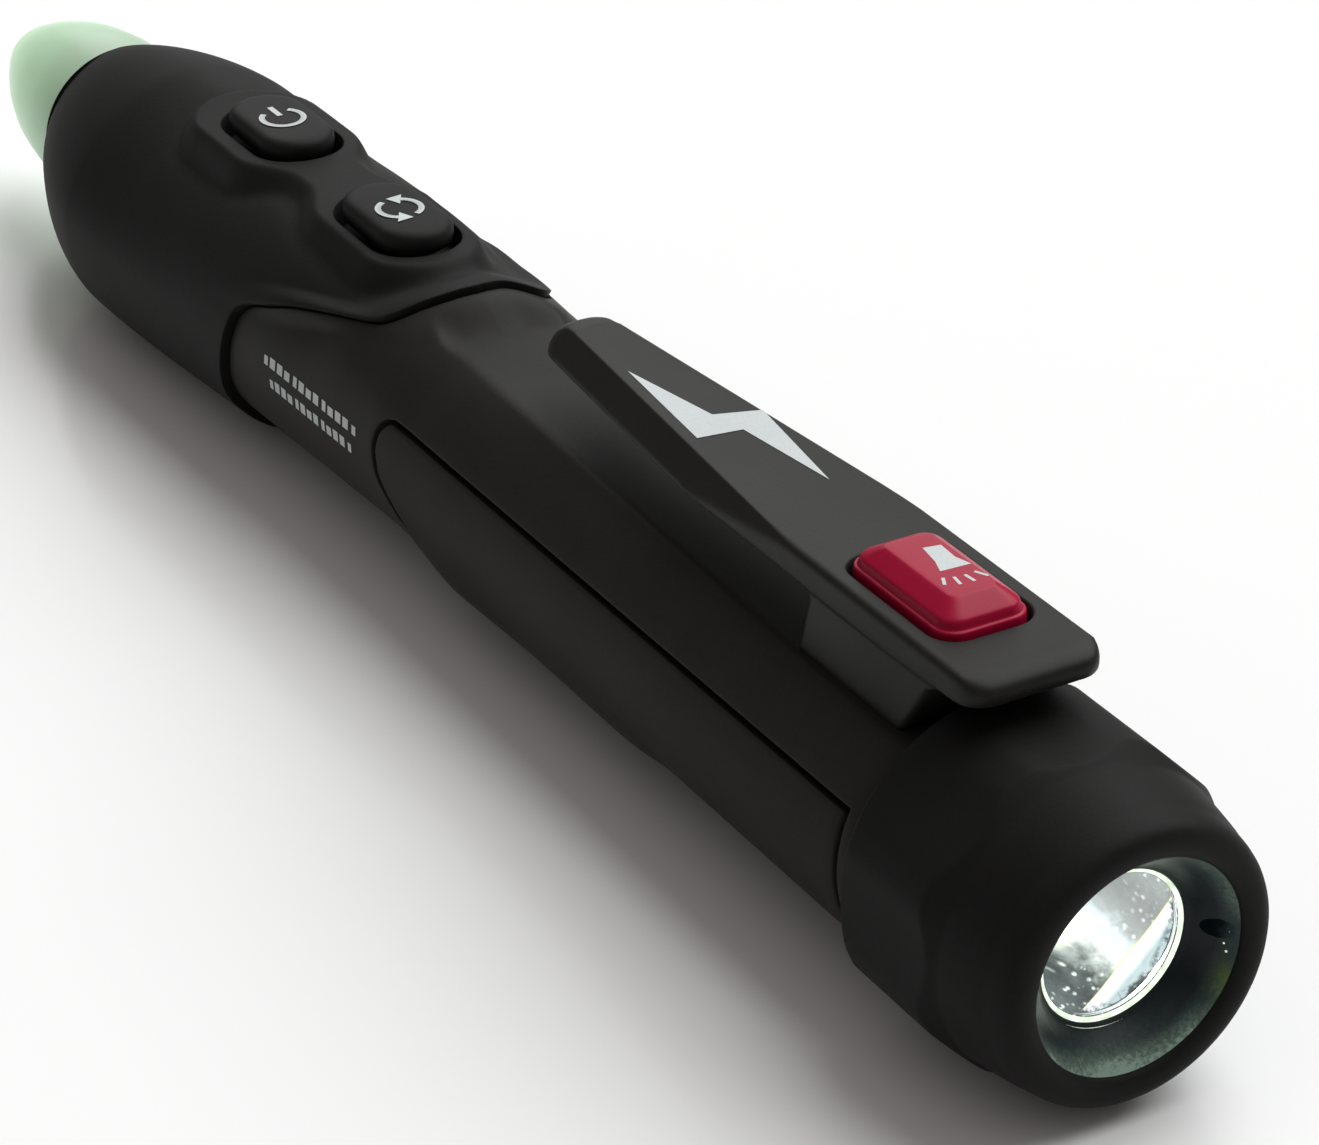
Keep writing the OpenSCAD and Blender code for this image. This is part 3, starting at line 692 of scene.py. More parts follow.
def grip_start(a):
    """Rear edge of the grip at any angle; its far corner reaches a little further back."""
    b = folded(a)
    far = 2.4 * hump(b, 30, 12, 58, 22) if 90 < a % 360 < 270 else 0.0
    return grip_edge(b) - far


def lining(x, a):
    """Floor of the groove before the grip; it dips under the keys, which press down over it."""
    return on_case(x, a, -GROOVE_DEPTH - KEY_ROOM * smooth((x - grip_start(a) - 2) / 3))


def case_columns():
    """Angles of the case's points: those across the opening for the lower shell, then the others."""
    low = spread(180 - SEAM_ANGLE, 205, 20)[:-1] + spread(205, 335, 40)[:-1]
    low += spread(335, 360 + SEAM_ANGLE, 20)
    top = spread(SEAM_ANGLE, 180 - SEAM_ANGLE, 108)[1:-1]
    return low, top


def build_case():
    """Round housing with an opening for the lower shell and a wavy front edge under the grip."""
    low, top = case_columns()
    angles = low + top
    rear = [BODY_X, BODY_X + 0.12, BODY_X + 0.35, BODY_X + 0.7, BODY_X + 1.2, SEAM_X]
    bend = GRIP_X - 9
    middle = spread(SEAM_X, bend, 40)[1:] + spread(bend, NOTCH_X, 12)[1:]
    points = [on_case(x, a) for x in rear + middle for a in angles]
    faces = []
    n = len(angles)
    start = len(rear) + len(middle)
    steps = 30
    for i in range(steps + 1):
        for a in angles:
            b = folded(a)
            x0 = NOTCH_X if b > SEAM_ANGLE - 0.01 else shell_front(b)
            points.append(on_case(mix(x0, grip_start(a), i / steps), a))
    opening = range(len(low) - 1)
    for i in range(start + steps):
        for j in range(n):
            if len(rear) - 1 <= i < start and j in opening:
                continue
            k = (j + 1) % n
            faces.append((i * n + j, i * n + k, (i + 1) * n + k, (i + 1) * n + j))
    used = sorted({v for f in faces for v in f})
    keep = {old: new for new, old in enumerate(used)}
    faces = [tuple(keep[v] for v in f) for f in faces]
    body = new_piece("case_body", [points[v] for v in used], faces, finish("case"))
    wall_in(body)
    lined = spread(BODY_X + 1.4, GRIP_X - 8, 20) + spread(GRIP_X - 7, SIDE_X + 6, 30)
    rows = [[lining(x, a) for a in spread(0, 360, 96)[:-1]] for x in lined]
    # The groove floor is a near-black sheet: painted shade in the gap
    floor = rings("case_groove_floor", rows, finish("groove"))
    body = join_pieces("case_body", [body, floor, build_spigot()])
    dress(body, "case", "grey_plastic", "housing")


def wall_in(piece):
    """Gives an open case surface its wall, inwards, and softens the edges."""
    total = 0.0
    for face in piece.data.polygons:
        out = Vector((0, face.center.y, face.center.z - AXIS_Z))
        total += face.area * face.normal.dot(out)
    if total < 0:
        piece.data.flip_normals()
    m = piece.modifiers.new("wall", "SOLIDIFY")
    m.thickness = sizes().shell_wall
    m.offset = -1
    m.use_even_offset = False
    soften_edges(piece)
    apply_modifiers(piece)
    shade(piece, 50)


def build_spigot():
    """Threaded spigot that the cap screws onto."""
    turns = spread(0, 1, 96)[:-1]
    end = BODY_X + 0.8
    rows = []
    for x in spread(SPIGOT_X, end, 60):
        fade = smooth((x - SPIGOT_X) / 0.8) * smooth((BODY_X - 1 - x) / 0.8)
        row = []
        for turn in turns:
            phase = ((x - SPIGOT_X) / THREAD_PITCH - turn) % 1
            ridge = smooth(1 - abs(phase - 0.5) / 0.28) * fade
            r = SPIGOT_R - 0.3 * smooth(1 - (x - SPIGOT_X) / 0.4) + THREAD_DEPTH * ridge
            row.append(around(x, r, 360 * turn))
        rows.append(row)
    for x, r in ((end, SPIGOT_BORE), (SPIGOT_X + 2, SPIGOT_BORE), (SPIGOT_X, SPIGOT_BORE + 0.1)):
        rows.append([around(x, r, 360 * turn) for turn in turns])
    return rings("case_spigot", rows, finish("case"), torus=True)


def shell_lift(x, a):
    """Raised finger pad low on the lower shell."""
    pad = along([(-43, 0), (-36, 0.45), (-25, 0.42), (-17, 0.6), (-12, 0.74), (-10, 0.6), (-7, 0.3), (-2, 0)],
                x - GRIP_X)
    return pad * smooth((-19 - folded(a)) / 11)


def build_lower_shell():
    """Lower shell that fills the housing's opening up to the parting groove."""
    gap = sizes().seam_gap / MM
    turn = math.degrees(gap / TUBE_R)
    low = spread(180 - SEAM_ANGLE + turn, 205, 22)[:-1] + spread(205, 335, 66)[:-1]
    low += spread(335, 360 + SEAM_ANGLE - turn, 22)
    rows = []
    xs = spread(SEAM_X + gap, PAD_X, 26)[:-1] + spread(PAD_X, PAD_END, 26)[:-1]
    tail = 30
    for i in range(len(xs) + tail + 1):
        row = []
        for a in low:
            b = folded(a)
            slope = abs(shell_front(b + 1.5) - shell_front(b - 1.5)) / 0.55
            end = shell_front(b) - gap * min(1.5, math.hypot(1, slope))
            x = xs[i] if i < len(xs) else mix(PAD_END, end, (i - len(xs)) / tail)
            row.append(on_case(x, a, shell_lift(x, a)))
        rows.append(row)
    n = len(low)
    faces = [(i * n + j, i * n + j + 1, (i + 1) * n + j + 1, (i + 1) * n + j)
             for i in range(len(rows) - 1) for j in range(n - 1)]
    shell = new_piece("case_lower_shell", [p for row in rows for p in row], faces, finish("shell"))
    wall_in(shell)
    dress(shell, "case", "grey_plastic", "lower_shell")


class DETECTOR_OT_case(bpy.types.Operator):
    """Build the housing with its parting grooves and spigot, and the lower shell with its finger pad"""

    bl_idname = "detector.case"
    bl_label = "Housing and lower shell"

    def execute(self, context):
        build_case()
        build_lower_shell()
        return {"FINISHED"}


# Clip and torch button

# Rounded edge, bevelled sides, rounded corners and end profiles of the arm
EDGE_ROUND = 0.55
BEVEL_X = TORCH_X + 15.5
BEVEL_HALF = 4.7
BEVEL_TAPER = 0.094
BEVEL_LEAN = 0.667
LIP_ROUND = 1.9
NOSE_ROUND = 1.4
LIP_ZONE = 3.2
NOSE_ZONE = 3.6

# Root block, and the hole for the button
ROOT_FRONT = TORCH_X + 9
ROOT_REAR = TORCH_X - 3.75
HOLE_L = 13.0
HOLE_W = 7.8


def clip_half(x, z):
    """Half width of the clip at a height: straight walls, bevelled sides and rolled edges."""
    w = CLIP_HALF - 0.02
    rolled = CLIP_TOP - EDGE_ROUND
    if z > rolled:
        w -= round_back(z - rolled, EDGE_ROUND)
    bevel = BEVEL_HALF - BEVEL_TAPER * (x - BEVEL_X) - BEVEL_LEAN * (z - CLIP_TOP)
    w = soft_min(w, bevel, 0.12)
    if x < CLIP_X + LIP_ROUND:
        w = min(w, CLIP_HALF - 0.1 - round_back(CLIP_X + LIP_ROUND - x, LIP_ROUND))
    if x > CLIP_END - NOSE_ROUND:
        w -= round_back(x - CLIP_END + NOSE_ROUND, NOSE_ROUND)
    return max(w, 0.3)


def end_rows(x):
    """Rings that close one end of the arm across its width."""
    ring = arm_section(x)
    return [[Vector((p.x, p.y * narrow, p.z)) for p in ring] for narrow in (0.75, 0.5, 0.25, 0.0)]


def clip_low(x):
    """Height of the clip's underside."""
    return along([(CLIP_X, CLIP_TOP - 2.1), (CLIP_X + 2, CLIP_TOP - 2.12), (CLIP_X + 6, CLIP_TOP - 2.25),
                  (CLIP_X + 12, CLIP_TOP - 2.42), (CLIP_END, CLIP_TOP - 2.42)], x)


def clip_reach(x, z):
    """Moves a station near either end to the rounded side profile of that end."""
    drop = CLIP_TOP - z
    if x < CLIP_X + LIP_ZONE:
        back = along([(0, 2.4), (0.06, 1.5), (0.25, 0.75), (0.5, 0.3), (0.85, 0.05), (1.2, 0), (1.55, 0.05),
                      (1.85, 0.22), (2.05, 0.55), (2.12, 0.9)], drop)
        return CLIP_X + back + (x - CLIP_X) * (LIP_ZONE - back) / LIP_ZONE
    if x > CLIP_END - NOSE_ZONE:
        back = along([(0, 2.7), (0.08, 1.7), (0.3, 0.9), (0.7, 0.35), (1.2, 0.05), (1.6, 0), (2.0, 0.15),
                      (2.25, 0.4), (2.42, 0.85)], drop)
        return CLIP_END - back + (x - CLIP_END) * (NOSE_ZONE - back) / NOSE_ZONE
    return x


def arm_section(x):
    """Closed ring of points around the clip arm at one station."""
    low = clip_low(x)
    levels = ((0.0, 0.3), (0.035, 0.12), (0.1, 0.02), (0.2, 0), (0.35, 0), (0.5, 0), (0.62, 0), (0.72, 0),
              (0.8, 0), (0.86, 0), (0.91, 0), (0.95, 0), (0.98, 0))
    side = []
    for t, tuck in levels:
        z = mix(low, CLIP_TOP, t)
        side.append((clip_half(x, z) - tuck, z))
    edge = clip_half(x, CLIP_TOP - 0.003)
    across = [(edge * t, CLIP_TOP) for t in (1, 0.96, 0.9, 0.75, 0.5, 0.25)]
    half = side + across
    ring = half + [(0, CLIP_TOP)] + [(-w, z) for w, z in reversed(half)]
    foot = side[0][0]
    ring += [(foot * t, low) for t in (-0.9, -0.5, 0, 0.5, 0.9)]
    return [at(clip_reach(x, z), w, z) for w, z in ring]


def root_row(z):
    """Outline of the clip's root block at a height; it flares where it meets the arm."""
    flare = round_back(min(1, max(0, (z - 12.8) / 0.95)), 1.0)
    front = ROOT_FRONT - (z - 8.8) * 0.286 + flare
    rear = ROOT_REAR - (z - 8.6) * 0.64 - flare
    return outline_row((front + rear) / 2, z, front - rear, 2 * CLIP_HALF - 0.24, 0.55, 5)


def build_clip():
    """Clip arm with its lip over the cap, root block and the nib that grips the pocket."""
    xs = [CLIP_X + d for d in (0, 0.04, 0.12, 0.25, 0.42, 0.62, 0.85, 1.1, 1.4, 1.75, 2.2, 2.8)]
    xs += spread(CLIP_X + 3.4, CLIP_END - 4.2, 70)
    xs += [CLIP_END - d for d in (3.6, 3, 2.5, 2, 1.6, 1.3, 1.05, 0.82, 0.6, 0.4, 0.24, 0.12, 0.04, 0)]
    rows = list(reversed(end_rows(CLIP_X))) + [arm_section(x) for x in xs] + end_rows(CLIP_END)
    arm = rings("clip_arm", rows, finish("clip"))
    cut_out(arm, button_hole_cutter())
    shade(arm, 30)
    levels = (8.2, 8.6, 9.2, 10, 11, 12, 12.6, 12.95, 13.2, 13.4, 13.55, 13.7, 14.2)
    root = rings("clip_root", [root_row(z) for z in levels], finish("clip"), caps=True)
    cut_out(root, button_hole_cutter())
    shade(root, 35)
    bump = [(1.0, 1.4, 0.5, CLIP_TOP - 3.0), (2.4, 2.2, 1.0, CLIP_TOP - 2.75),
            (3.2, 2.8, 1.3, CLIP_TOP - 2.3)]
    nib = stacked("clip_nib", CLIP_END - 8, bump, finish("clip"))
    clip = join_pieces("pocket_clip_moulding", [arm, root, nib])
    dress(clip, "case", "grey_plastic", "pocket_clip")


def button_hole_cutter():
    levels = ((11.4, 0), (CLIP_TOP - 0.35, 0), (CLIP_TOP - 0.1, 0.1), (CLIP_TOP + 0.15, 0.3),
              (CLIP_TOP + 4, 0.3))
    return well_cutter("button_hole", TORCH_X, HOLE_L, HOLE_W, 2.0, levels, 8)


def build_torch_button():
    """Red button: a flange with a rolled edge, a steep step and a bevelled cap."""
    top = BUTTON_TOP
    foot = CLIP_TOP + 0.3
    levels = [(12.4, 7.2, 1.7, foot - 4), (12.4, 7.2, 1.7, foot - 0.28), (12.28, 7.08, 1.65, foot - 0.1),
              (12.15, 6.95, 1.6, foot), (11.9, 6.7, 1.5, foot - 0.02), (11.76, 6.56, 1.45, foot + 0.08),
              (11.6, 6.4, 1.45, foot + 0.5), (11.42, 6.2, 1.4, foot + 0.66), (11.0, 5.8, 1.25, foot + 0.8),
              (8.7, 3.95, 0.75, top - 0.10), (8.45, 3.75, 0.7, top - 0.05), (8.1, 3.45, 0.6, top - 0.02)]
    button = stacked("torch_button_cap", TORCH_X, levels, finish("red"), dome=0.01, smooth_angle=0)
    subdivide_once(button)
    dress(button, "torch_button", "red_plastic", "torch_button")


class DETECTOR_OT_clip(bpy.types.Operator):
    """Build the pocket clip with its lip, root block and button hole"""

    bl_idname = "detector.clip"
    bl_label = "Pocket clip"

    def execute(self, context):
        build_clip()
        return {"FINISHED"}


# Head grip and keys

# Neck, guard and flared rear lip of the skin
NECK_R = 10.75
NECK_GAIN = 0.85
SWELL_X = GRIP_X + 14
GUARD_UP = 11.6
CLOSE_L = 23.9
CLOSE_POWER = 1.6
LIP_RISE = 0.98
GRIP_BORE = 9.2
NOSE_BORE = 7.56

# Raised island, and the room around each key in its well
ISLAND_Z = 11.85
ISLAND_EDGE = 1.5
WELL_FLOOR = 9.75
WELL_ROOM = 1.15


def neck_at(x):
    return NECK_R + NECK_GAIN * smooth((x - GRIP_X) / (SIDE_X - GRIP_X))


def guard_swell(x):
    """How far the neck has swollen into the guard, up to 1 at its widest place."""
    return smooth((x - SWELL_X) / (BULB_X - SWELL_X))


def guard_close(x):
    """How far the guard has closed towards the tip, from 1 at its widest place."""
    if x <= BULB_X:
        return 1.0
    return max(0.0, 1 - ((x - BULB_X) / CLOSE_L) ** CLOSE_POWER) ** (1 / CLOSE_POWER)


def grip_point(x, a):
    """Skin of the soft grip: a round neck that swells into the finger guard and closes to the tip."""
    t = math.radians(a)
    s, c = math.sin(t), math.cos(t)
    swell = guard_swell(x)
    close = guard_close(x)
    neck = neck_at(x) + 0.2 * hump(x, GRIP_X + 9, 8, GRIP_X + 29, 8) * smooth(s / 0.6)
    saddle = 0.9 * swell * (1 - smooth((x - BULB_X + 9) / 10))
    wide = mix(neck, GUARD_HALF - 0.01, swell) * close
    up = (mix(neck, GUARD_UP, swell) - saddle) * close ** 0.78
    down = mix(neck, FLAT_R - 0.01, swell) * close ** 0.81
    p = 2 / (2 - 0.25 * swell) if s > 0 else 2 / (2 + 0.5 * swell)
    z = (up if s > 0 else down) * math.copysign(abs(s) ** p, s)
    y = wide * math.copysign(abs(c) ** p, c)
    start = grip_start(a)
    lip = LIP_RISE * (1 - smooth((x - start - 0.6) / 5.6)) * smooth((s - 0.3) / 0.5)
    rim = 0.34 * max(0.0, 1 - (x - start) / 0.6) ** 2
    y += (lip - rim) * c
    z += (lip - rim) * s
    return x, y, island_height(x, y, z)


def stadium_distance(x, y, cx, half, r):
    """Distance from a long round of radius r whose straight part reaches half to each side of cx."""
    return math.hypot(max(abs(x - cx) - half, 0), y) - r


def island_distance(x, y):
    """Distance from the edge of the figure-8 island, less than zero inside it."""
    d = soft_min(stadium_distance(x, y, MODE_X + 0.3, 3.7, 5.35),
                 stadium_distance(x, y, POWER_X + 1.3, 3.4, 6.0), 2.5)
    return soft_min(d, stadium_distance(x, y, (MODE_X + POWER_X) / 2 + 0.6, 5, 3.3), 2.2)


def island_height(x, y, z):
    """Height of the skin with the raised island and the shallow dip around it."""
    past = x - GRIP_X
    if z < 3 or not -1 < past < 56:
        return z
    d = island_distance(x, y)
    target = ISLAND_Z + 0.25 * smooth((past - 7) / 12) - 0.15 * smooth((past - 36) / 12) - 0.012 * y * y
    w = smooth(0.5 - d / ISLAND_EDGE)
    dip = 0.12 * math.exp(-((d - 1.1) / 0.8) ** 2)
    return mix(z - dip, max(z, target), w)


def grip_columns():
    """Angles of the grip's points, closer together where its rear edge is steep."""
    side = spread(-90, 12, 30)[:-1] + spread(12, 30, 18)[:-1]
    side += spread(30, 58, 28)[:-1] + spread(58, 90, 30)
    return side + [180 - a for a in reversed(side[1:-1])]


def build_grip():
    """Soft head grip with its flared rear lip, finger guard, island and key wells."""
    gap = sizes().seam_gap / MM
    edge = [(a, grip_start(a) + gap) for a in grip_columns()]
    steps = [0, 0.0012, 0.003, 0.0055, 0.009] + spread(0.014, 0.70, 150) + spread(0.71, 1.0, 44)
    rows = [[at(*grip_point(mix(start, HEAD_END, t), a)) for a, start in edge] for t in steps]
    inside = SIDE_X + 6
    for x, r in ((HEAD_END + 0.12, 7.88), (HEAD_END + 0.1, 7.72), (HEAD_END - 0.1, 7.6),
                 (HEAD_END - 0.6, NOSE_BORE), (NOSE_X, NOSE_BORE), (NOSE_X - 0.5, GRIP_BORE),
                 (inside, GRIP_BORE)):
        rows.append([around(x, r, a) for a, start in edge])
    for t in spread(0, 1, 6)[1:]:
        row = []
        for a, start in edge:
            x = mix(inside, start + 0.02, t)
            row.append(around(x, min(GRIP_BORE, case_r(x, a) - 0.7), a))
        rows.append(row)
    grip = rings("head_grip_skin", rows, finish("rubber"), torus=True, smooth_angle=0)
    for x in (MODE_X, POWER_X):
        cut_out(grip, key_well_cutter(x))
    shade(grip, 38)
    dress(grip, "case", "soft_rubber", "head_grip")


def key_well_cutter(x):
    levels = ((WELL_FLOOR, 0.0), (11.2, 0.0), (11.7, 0.08), (12.3, 0.3), (16, 0.3))
    return well_cutter("key_well", x, KEY_L + WELL_ROOM, KEY_W + WELL_ROOM, KEY_W / 2 + 0.57, levels, 10)


def key_levels():
    """Outlines of a key from the foot of its skirt to its softly rounded top."""
    steps = ((0, 2.85), (0, 0.85), (0.12, 0.55), (0.45, 0.28), (1.1, 0.11), (2.0, 0.05))
    return [(KEY_L - inset, KEY_W - inset, KEY_W / 2, KEY_TOP - drop) for inset, drop in steps]


def build_keys():
    for node, x in (("mode_key", MODE_X), ("power_key", POWER_X)):
        key = stacked(node + "_cap", x, key_levels(), finish("key"), dome=0.04, n=12, smooth_angle=0)
        subdivide_once(key)
        dress(key, node, "soft_rubber", node)


class DETECTOR_OT_grip(bpy.types.Operator):
    """Build the soft head grip with its finger guard, its island and the key wells"""

    bl_idname = "detector.grip"
    bl_label = "Head grip"

    def execute(self, context):
        build_grip()
        return {"FINISHED"}


class DETECTOR_OT_buttons(bpy.types.Operator):
    """Build the red torch button and the two keys on the head"""

    bl_idname = "detector.buttons"
    bl_label = "Button and keys"

    def execute(self, context):
        build_torch_button()
        build_keys()
        return {"FINISHED"}


# Tail cap

def collar_r(x, a):
    """Radius of the cap: a cone at the front and a softened eight-sided collar behind it."""
    cone = along([(2.4, 10.72), (3.2, 10.92), (CAP_L - 10, 11.5), (CAP_L - 8, 11.55)], x)
    if x < CAP_L - 11.2:
        return cone
    fold = (a + 22.5) % 45 - 22.5
    eight = soft_min((FLAT_R - 0.01) / math.cos(math.radians(fold)), 12.3, 0.22)
    front = 11.38 + (x - (CAP_L - 10.9)) / 1.75 * 0.86
    rear = FLAT_R + 0.02 + (CAP_L - x) * 0.95
    return soft_min(soft_max(cone, soft_min(eight, front, 0.12), 0.1), rear, 0.1)


def build_cap():
    """Soft cap with a rolled lip around the torch opening."""
    angles = spread(0, 360, 288)[:-1]
    lip = [(0.62, 8.33), (0.6, 8.02), (0.42, 8.05), (0.24, 8.2), (0.1, 8.45), (0.02, 8.75), (0.0, 9.1),
           (0.03, 9.4), (0.12, 9.72), (0.3, 10.02), (0.55, 10.25), (0.9, 10.43), (1.4, 10.57), (1.9, 10.66)]
    rows = [[around(x, r, a) for a in angles] for x, r in lip]
    xs = spread(2.4, CAP_L - 11.3, 10) + spread(CAP_L - 11.1, CAP_L - 8.6, 16)
    xs += spread(CAP_L - 8.3, CAP_L - 1.0, 12) + [CAP_L - d for d in (0.8, 0.6, 0.45, 0.3, 0.15, 0.05)]
    for x in xs:
        rows.append([around(x, collar_r(x, a), a) for a in angles])
    for x, r in ((CAP_L, 11.35), (CAP_L, 10.8), (CAP_L - 0.05, 10.52), (CAP_L - 3, 10.5), (4.0, 10.5),
                 (2.4, 10.4), (2.35, 8.5)):
        rows.append([around(x, r, a) for a in angles])
    cap = rings("tail_cap_moulding", rows, finish("cap"), torus=True, smooth_angle=32)
    dress(cap, "cap", "soft_rubber", "tail_cap")


class DETECTOR_OT_cap(bpy.types.Operator):
    """Build the soft tail cap with its rolled lip and eight-sided collar"""

    bl_idname = "detector.cap"
    bl_label = "Tail cap"

    def execute(self, context):
        build_cap()
        return {"FINISHED"}


# Torch

# Front of the window, middle of the funnel's round hole, and the cone that the dust lies on
WINDOW_X = 3.72
HOLE_Y = -6.9
HOLE_Z = 0.0
CONE_X = 3.28
CONE_R = 5.85
CONE_CLIMB = 0.86
SPECKS = 22

# Planes across the bowl that place its painted reflected light, as Finish.slant takes them
FOLD_PLANE = (-753.6, -459.8, -469.8, -59.53)
CRESCENT_PLANE = (0, -707.1, 707.1, -8.344)


def on_cone(x, a):
    return around(x, CONE_R + (CONE_X - x) * CONE_CLIMB, a)


def funnel_finish():
    """Dark funnel with painted torch light: a painted glow towards its front edge, up top and low down
    towards +Y, and a painted yellow-green glint streak.
    """
    f = Finish("funnel_painted_glow")
    speckle = f.noise(3200, 5, 0.75)
    crumbs = f.cells(2400)
    # Painted glow of the torch light: towards the front edge, up top, and a painted pool of light low down
    # towards +Y
    outer = f.times(f.depth(0.7, 1.8, 1.0, 0.0), f.range(f.noise(170), 0.35, 0.65, 0.25, 0.7))
    low = f.range(f.place("Z"), AXIS_Z - 8.0 * MM, AXIS_Z - 3.6 * MM, 1.0, 0.0)
    near = f.range(f.place("Y"), -6 * MM, 3 * MM, 0.25, 1.0)
    painted_light_pool = f.times(f.times(low, near), f.depth(3.3, 1.4, 0.2, 0.85))
    upper = f.sum(f.range(f.place("Z"), AXIS_Z + 2 * MM, AXIS_Z + 7 * MM, 0.0, 0.22), outer)
    grit = f.times(f.uneven(speckle, 0.55, 1.35), f.range(crumbs, 0.0, 0.22, 1.5, 1.0))
    # The grit times the painted glow: it lightens the base colour and drives the painted emission
    frost_and_glow = f.times(f.sum(upper, painted_light_pool), grit)
    f.feed("Base Color", f.ramp(frost_and_glow, [(0.0, (0.004, 0.005, 0.006)), (1.0, (0.035, 0.045, 0.04))]))
    f.feed("Roughness", f.range(frost_and_glow, 0, 1, 0.3, 0.55))
    # Painted yellow-green glint streak below the round hole
    streak = f.range(f.away(0.9, -7.1, -3.2), 0.3, 1.9, 0.5, 0.0)
    tint = f.ramp(streak, [(0.0, (0.92, 1.0, 0.97)), (0.5, (0.95, 1.0, 0.35))])
    light = f.ramp(f.sum(frost_and_glow, f.times(streak, 0.5)),
                   [(0.0, (0.0012, 0.0022, 0.0028)), (0.3, (0.010, 0.016, 0.016)),
                    (0.7, (0.045, 0.062, 0.048)), (1.0, (0.12, 0.16, 0.13))])
    f.feed("Emission Color", f.blend(light, tint, how="MULTIPLY"))
    f.set(Emission_Strength=1.0, IOR=1.3)
    f.bump(speckle, 0.00003)
    return f.material


def bowl_finish():
    """Reflector bowl with painted reflected light: a pale crescent and grey parts with painted white flecks
    on one side of a bright fold, a pale blue-grey sheen on the other, and a painted yellow seam along the
    fold.
    """
    f = Finish("reflector_silver_painted_light")
    peel = f.noise(1300, 4, 0.65)
    crumbs = f.cells(1900)
    f.feed("Base Color", f.ramp(peel, [(0.3, (0.08, 0.09, 0.09)), (0.7, (0.2, 0.22, 0.22))]))
    f.feed("Roughness", f.range(crumbs, 0, 0.6, 0.25, 0.45))
    fold = f.slant(*FOLD_PLANE)
    climb = f.range(f.sum(f.slant(*CRESCENT_PLANE), f.uneven(peel, -0.5, 0.5)), -6, 6, 0, 1)
    # Painted crescent of pale reflected light between grey bands
    left = f.ramp(climb,
                  [(0.05, (0.08, 0.1, 0.1)), (0.2, (0.012, 0.018, 0.018)), (0.29, (0.05, 0.06, 0.055)),
                   (0.36, (0.42, 0.46, 0.43)), (0.43, (0.9, 0.92, 0.88)), (0.54, (0.85, 0.92, 0.96)),
                   (0.62, (0.42, 0.43, 0.42)), (0.72, (0.30, 0.30, 0.295)), (0.95, (0.34, 0.35, 0.34))])
    rough = f.times(f.range(crumbs, 0.12, 0.34, 1.0, 0.0), f.range(peel, 0.38, 0.55, 0.0, 1.0))
    shares = [(0.3, (1.0, 1.0, 1.0)), (0.42, (0.1, 0.1, 0.1)), (0.6, (0.45, 0.45, 0.45))]
    flecks = f.times(rough, f.ramp(climb, shares))
    # Painted white flecks of reflected light on the rough crumbs
    painted_white_flecks = f.ramp(flecks, [(0.0, (0, 0, 0)), (0.8, (1.0, 1.05, 1.0))])
    left = f.blend(left, painted_white_flecks, how="ADD")
    edge = f.times(f.depth(4.7, 5.5, 1.0, 0.0), f.range(peel, 0.4, 0.6, 0.0, 1.0))
    right = f.ramp(f.range(fold, 0, 3, 0, 1),
                   [(0.0, (1.0, 1.0, 0.8)), (0.05, (1.1, 1.1, 1.1)), (0.24, (1.0, 1.0, 1.0)),
                    (0.36, (0.55, 0.66, 0.68)), (0.75, (0.66, 0.78, 0.80)), (1.0, (0.5, 0.58, 0.6))])
    right = f.blend(right, f.ramp(crumbs, [(0.1, (0.7, 0.75, 0.75)), (0.35, (0.05, 0.06, 0.06))]),
                    f.range(edge, 0.1, 0.5, 0.0, 1.0))
    seam = f.range(fold, -0.16, -0.02, 0.0, 1.0)
    # The painted reflected light of both sides, joined at the fold
    lit = f.blend(left, right, f.range(fold, -0.04, 0.04, 0.0, 1.0))
    painted_yellow_seam = f.ramp(f.times(seam, f.range(fold, 0.0, 0.06, 1.0, 0.0)),
                    [(0.0, (1, 1, 1)), (1.0, (1.0, 0.98, 0.6))])
    f.feed("Emission Color", f.blend(lit, painted_yellow_seam, how="MULTIPLY"))
    f.set(Metallic=1.0, Emission_Strength=1.1)
    f.bump(f.sum(peel, crumbs), 0.00004)
    return f.material


def window_finish():
    """Clear window with a painted soft glare over the emitter."""
    f = Finish("torch_window")
    smear = f.noise(400, 2, 0.5)
    f.feed("Base Color", f.tone(smear, (0.94, 0.98, 0.98), 0.02))
    f.feed("Roughness", f.uneven(smear, 0.01, 0.05))
    # Painted glare: emission in a spot on the window
    glare = f.range(f.away(3.7, 3.7, 2.5), 0.4, 2.4, 1.0, 0.0)
    glow = [(0.0, (0, 0, 0)), (0.35, (0.07, 0.08, 0.06)), (0.65, (0.6, 0.65, 0.45)), (1.0, (2.2, 2.2, 2.0))]
    f.feed("Emission Color", f.ramp(glare, glow))
    f.bump(f.noise(900), 0.000002)
    f.set(Transmission_Weight=1.0, IOR=1.3, Emission_Strength=1.0)
    return f.material


def rim_finish():
    """Painted glow for the lit edge of the window, its second rim and two glints."""
    f = Finish("window_rim_painted_glow")
    peel = f.noise(900, 3, 0.6)
    f.feed("Base Color", f.tone(peel, (0.6, 0.68, 0.66), 0.3))
    f.feed("Roughness", f.uneven(peel, 0.15, 0.3))
    f.feed("Emission Color", f.ramp(peel, [(0.3, (0.42, 0.56, 0.36)), (0.6, (0.9, 1.0, 0.8))]))
    f.set(Emission_Strength=1.0)
    f.bump(peel, 0.00001)
    return f.material


def emitter_finish():
    f = Finish("torch_emitter")
    die = f.noise(1200, 2, 0.5)
    f.feed("Base Color", f.tone(die, (0.9, 0.85, 0.5), 0.1))
    f.feed("Roughness", f.uneven(die, 0.1, 0.2))
    f.set(Emission_Color=(*colours().torch_light, 1), Emission_Strength=30.0)
    f.bump(die, 0.000005)
    return f.material


